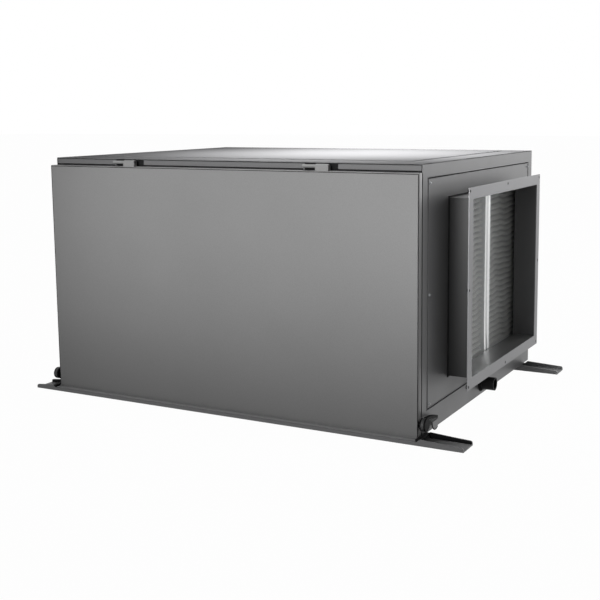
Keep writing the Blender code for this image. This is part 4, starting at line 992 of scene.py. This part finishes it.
def pipe_sleeve():
    """Foam sleeve on the cold suction pipe, from above the compressor to just before the coil."""
    low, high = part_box("suction_pipe")
    x = low.x + PIPE_RADIUS
    back = high.y - PIPE_RADIUS
    front = low.y + PIPE_RADIUS
    top = high.z - PIPE_RADIUS
    bend = 24 * MM
    turns = [math.radians(15 * step) for step in range(1, 6)]
    route = [(x, back, low.z + 32 * MM), (x, back, top - bend)]
    route += [(x, back - bend * (1 - math.cos(turn)), top - bend * (1 - math.sin(turn)))
              for turn in turns]
    route += [(x, back - bend, top), (x, front + bend, top)]
    route += [(x + bend * (1 - math.cos(turn)), front + bend * (1 - math.sin(turn)), top)
              for turn in turns]
    route += [(x + bend, front, top), (high.x - 26 * MM, front, top)]
    work = bmesh.new()
    tube(work, route, 11.5 * MM, sides=5)
    settle(work, "suction_pipe_sleeve", FOAM, "cabinet", "black_rubber")


def braze_rings():
    """Silver-brazed collars where the pipes meet the compressor's stubs and the manifolds."""
    bore = 6.7 * MM
    rim = 8.6 * MM
    bevel = 1 * MM
    work = bmesh.new()
    for name in ("suction_pipe", "discharge_pipe"):
        low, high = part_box(name)
        at_stub = faced("+Z", (low.x + PIPE_RADIUS, high.y - PIPE_RADIUS, low.z - 5 * MM))
        at_coil = faced("+X", (high.x - 17 * MM, low.y + PIPE_RADIUS, high.z - PIPE_RADIUS))
        for base, length in ((at_stub, 14 * MM), (at_coil, 15 * MM)):
            turned(work, base, [(bore, 0.0), (rim, bevel), (rim, length - 2 * bevel),
                                (bore, length)], steps=20)
    settle(work, "pipe_joint_collars", COPPER, "cabinet", "copper_tube")


def compressor_fittings():
    """Foot bolts with washers, the clips on the terminal cover, and the shell's weld seams."""
    low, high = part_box("compressor")
    x = (low.x + high.x) / 2
    y = high.y - 85.5 * MM
    foot = 60 * MM
    foot_top = low.z + 23.3 * MM
    half = 31 * MM
    clip = 6 * MM
    front = low.y - 1.5 * MM
    back = low.y + 24 * MM
    work = bmesh.new()
    for side in (-1, 1):
        for end in (-1, 1):
            hex_screw(work, faced("+Z", (x + side * foot, y + end * foot, foot_top)), 8 * MM)
    for bottom in (low.z + 103 * MM, low.z + 153 * MM):
        box(work, (x - half, front, bottom), (x + half, back, bottom + clip), rounding=0.8 * MM)
    settle(work, "compressor_bolts_and_clips", SCREW_ZINC, "cabinet", "galvanised_steel")
    shell = 81 * MM
    shoulder = 83.4 * MM
    work = bmesh.new()
    for rise in (62 * MM, 246 * MM):
        turned(work, faced("+Z", (x, y, low.z + rise)),
               [(shell, 0.0), (shoulder, 1 * MM), (83.8 * MM, 2.5 * MM), (shoulder, 4 * MM),
                (shell, 5 * MM)], steps=48)
    settle(work, "compressor_welds", ENAMEL, "cabinet", "black_enamel")


def blower_screws():
    """Sheet screws that hold the blower's cover and its inlet ring."""
    low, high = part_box("blower_cover")
    x, _, z = centre_of(*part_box("blower_guard"))
    plane = low.y + 2 * MM
    reach = 140.5 * MM
    apart = 75 * MM
    small = 3.4 * MM
    large = 4 * MM
    work = bmesh.new()
    for step in range(8):
        angle = math.radians(22.5 + 45 * step)
        place = (x + reach * math.cos(angle), plane, z + reach * math.sin(angle))
        hex_screw(work, faced("-Y", place), small)
    for share in (0.12, 0.5, 0.88):
        place = (low.x + 10 * MM, plane, z + share * (high.z - z))
        hex_screw(work, faced("-Y", place), large)
    for side in (-1, 1):
        place = (x + side * apart, plane + 0.5 * MM, low.z + 4 * MM)
        hex_screw(work, faced("-Y", place), small)
    settle(work, "blower_screws", SCREW_ZINC, "cabinet", "galvanised_steel")


def control_fittings():
    """The control box's four lid screws and the three cable glands under it."""
    low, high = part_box("control_box")
    inset = 12 * MM
    work = bmesh.new()
    for x in (low.x + inset, high.x - inset):
        for z in (low.z + inset, high.z - inset):
            hex_screw(work, faced("-Y", (x, low.y, z)), 4.5 * MM)
    settle(work, "control_lid_screws", SCREW_ZINC, "cabinet", "galvanised_steel")
    nut = 6 * MM
    bore = 5 * MM
    cap = 9.5 * MM
    end = 17 * MM
    y = (low.y + high.y) / 2 + GLAND_BACK
    work = bmesh.new()
    for count in (1, 2, 3):
        place = Matrix.Translation((low.x + count * GLAND_STEP, y, low.z + 1.5 * MM))
        base = place @ Matrix.Rotation(math.pi, 4, "X")
        stub(work, base, 0.0, nut, 11 * MM, 11 * MM, 6)
        turned(work, base, [(bore, nut), (cap, nut), (cap, 12 * MM), (7 * MM, end), (bore, end)],
               steps=20)
    settle(work, "control_cable_glands", NYLON, "cabinet", "black_plastic")


def conduit():
    """The corrugated conduit from the control box down the partition to the compressor."""
    low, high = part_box("control_box")
    shell_low, shell_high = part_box("compressor")
    floor = shell_low.z
    radius = 5 * MM
    bend = 26 * MM
    x = low.x + GLAND_STEP
    y = (low.y + high.y) / 2 + GLAND_BACK
    end_x = (shell_low.x + shell_high.x) / 2
    run = shell_low.y + 8 * MM
    route = smooth_route([(x, y, low.z - 12 * MM), (x, y, floor + radius), (x, run, floor + radius),
                          (end_x, run, floor + radius), (end_x, run, floor + 94 * MM)], bend)
    work = bmesh.new()
    tube(work, route, radius * 0.82, sides=3)
    # The corrugations are 2 mm apart; they are drawn 6 mm apart so that they show.
    step = 6 * MM
    rib = step * 0.5
    for start, end in zip(route, route[1:]):
        gap = Vector(end) - Vector(start)
        turn = gap.to_track_quat("Z", "Y").to_matrix().to_4x4()
        for index in range(int(gap.length / step)):
            centre = Vector(start) + gap.normalized() * step * (index + 0.5)
            stub(work, Matrix.Translation(centre) @ turn, -rib / 2, rib, radius, radius, 10)
    settle(work, "compressor_conduit", NYLON, "cabinet", "black_plastic")
    foot = 6 * MM
    strap = 5 * MM
    work = bmesh.new()
    for share in (0.2, 0.45, 0.7):
        middle = x + (end_x - x) * share
        box(work, (middle - foot, run - 2 * foot, floor),
            (middle + foot, run + 2 * foot, floor + 1.2 * MM), rounding=0.4 * MM)
        box(work, (middle - strap, run - foot, floor),
            (middle + strap, run + foot, floor + 2 * radius + 1 * MM), rounding=2.5 * MM)
    settle(work, "conduit_clips", SCREW_ZINC, "cabinet", "galvanised_steel")


# The solids' finishes


def give(material, *names):
    """Put one finish on whole solids."""
    for name in names:
        data = NODES[name].data
        data.materials.clear()
        data.materials.append(material)


def finish_solids():
    """Give every solid its finish."""
    give(ROOF_COAT, "top_panel", "top_cover")
    give(CABINET_COAT, "base_tray", "back_panel", "side_frame_left", "side_frame_right",
         "service_panel_left", "service_panel_right", "latch_keeper_left", "latch_keeper_right",
         "control_box")
    give(satin_powder_coat("header_powder_coat", "#5C5C5D"), "header")
    give(HINGE_COAT, "hinge_pin_half_left", "hinge_pin_half_right", "hinge_door_half_left",
         "hinge_door_half_right")
    give(DOOR_COAT, "front_door")
    give(collar_coat(), "duct_collar_left", "duct_collar_right")
    give(RAIL_COAT, "front_rail", "back_rail")
    give(GALVANISED, "drip_tray", "blower_plate", "blower_housing", "blower_cover",
         "blower_wheel", "filter_frame_front", "filter_frame_back", "filter_track_bottom",
         "filter_track_top")
    give(FLEECE, "filter_media_front", "filter_media_back")
    give(FOAM, "panel_gasket_left", "panel_gasket_right", "door_liner")
    give(NYLON, "latch_knob_left", "latch_knob_right", "latch_boss_left", "latch_boss_right")
    give(moulded_nylon("drain_polypropylene", "#2A2A2B", 0.5), "drain_spigot")
    give(coil_metals(), "coil_evaporator", "coil_condenser")
    give(COPPER, "suction_pipe", "discharge_pipe")
    give(ENAMEL, "compressor", "blower_motor", "blower_guard")


CABINET_COAT = satin_powder_coat("satin_grey_powder_coat", "#767677", 0.42, 0.35)
ROOF_COAT = satin_powder_coat("matt_grey_powder_coat", "#7A7A7B", 0.7, 0.0, 0.0)
DOOR_COAT = satin_powder_coat("door_powder_coat", "#7B7B7B")
HINGE_COAT = satin_powder_coat("hinge_powder_coat", "#7C7C7C")
RAIL_COAT = satin_powder_coat("rail_powder_coat", "#767677")
# Painted light: the cover is coloured far paler than the rail, to stand for light on the channel in
# front of the door.
PAINTED_LIGHT_COVER_COAT = satin_powder_coat("rail_cover_painted_light_coat", "#B0B0B1")
# Painted highlight: paler than the door's coat, for the light on the door's upright edges.
PAINTED_HIGHLIGHT_COAT = satin_powder_coat("pale_painted_highlight_coat", "#8E8E8E")
# Painted highlight: this grey stands for the light caught across the black latch knob's rim.
HIGHLIGHT_BAND_COAT = satin_powder_coat("latch_band_painted_highlight", "#3E3E3F")
COPPER = drawn_copper()
FIN_METAL = mill_aluminium()
GALVANISED = galvanised_sheet()
RIM_METAL = zinc_plate("bright_zinc_rim", "#DCDDDD", 6 * MM)
MESH_METAL = zinc_plate("expanded_galvanised_sheet", "#CBCDCE", 3 * MM)
SCREW_ZINC = zinc_plate("zinc_plated_screws", "#9A9C9E", 2 * MM)
FLEECE = filter_fleece()
FOAM = closed_cell_foam()
NYLON = moulded_nylon("glass_filled_nylon", "#0C0C0D", 0.55)
# Black sealant for the real seals and the drain washer; the same black serves as painted shade in
# the header's lower strips, the hinge notches, the keeper edges and the rail's blocks and strips.
BLACK_SEALANT_AND_SHADE = moulded_nylon("black_sealant_and_painted_shade", "#151516", 0.6)
GREY_SEALANT = moulded_nylon("grey_joint_sealant", "#2E2E2F", 0.6)
# Painted shade: the dark line where the door's face bends round into its edge.
PAINTED_SHADE_LINE = moulded_nylon("dark_painted_shade_line", "#141415", 0.6)
ENAMEL = stove_enamel("black_stove_enamel", "#141416")

bpy.context.scene.view_settings.view_transform = "Standard"
studio_world()
studio_floor()
soft_light("front_light", place=(0.1, -2.9, 1.0), aim=(0.4, -0.45, 0.60), width=2.2, height=0.9,
           power=6.2, spread=23.0)
soft_light("back_right_light", place=(2.5, 4.57, 1.5), aim=(0.55, 0.0, 0.4), width=1.4,
           height=1.2, power=73.0)
soft_light("overhead_light", place=(0.13, 0.13, 2.4), aim=(0.13, 0.11, 0.69), width=0.7,
           height=0.6, power=9.7, spread=42.0)
studio_camera()
finish_solids()
for row in ("front", "back"):
    filter_rim(row)
    filter_pleats(row)
    filter_mesh(row)
for side in ("left", "right"):
    panel_screws(side)
    edge_folds(side)
    collar_bead(side)
    flange_nuts(side)
    hinge_notch_shade(side)
    latch_bands(side)
    keeper_edge_shade(side)
door_edge_shade_line()
door_edge_highlight_strips()
door_bottom_lip()
rail_painted_shade()
rail_cover()
door_seal()
header_strips_and_painted_shadow()
drain_washer()
back_sheet()
for coil in ("coil_evaporator", "coil_condenser"):
    coil_fins(coil)
    coil_plates(coil)
pipe_sleeve()
braze_rings()
compressor_fittings()
blower_screws()
control_fittings()
conduit()
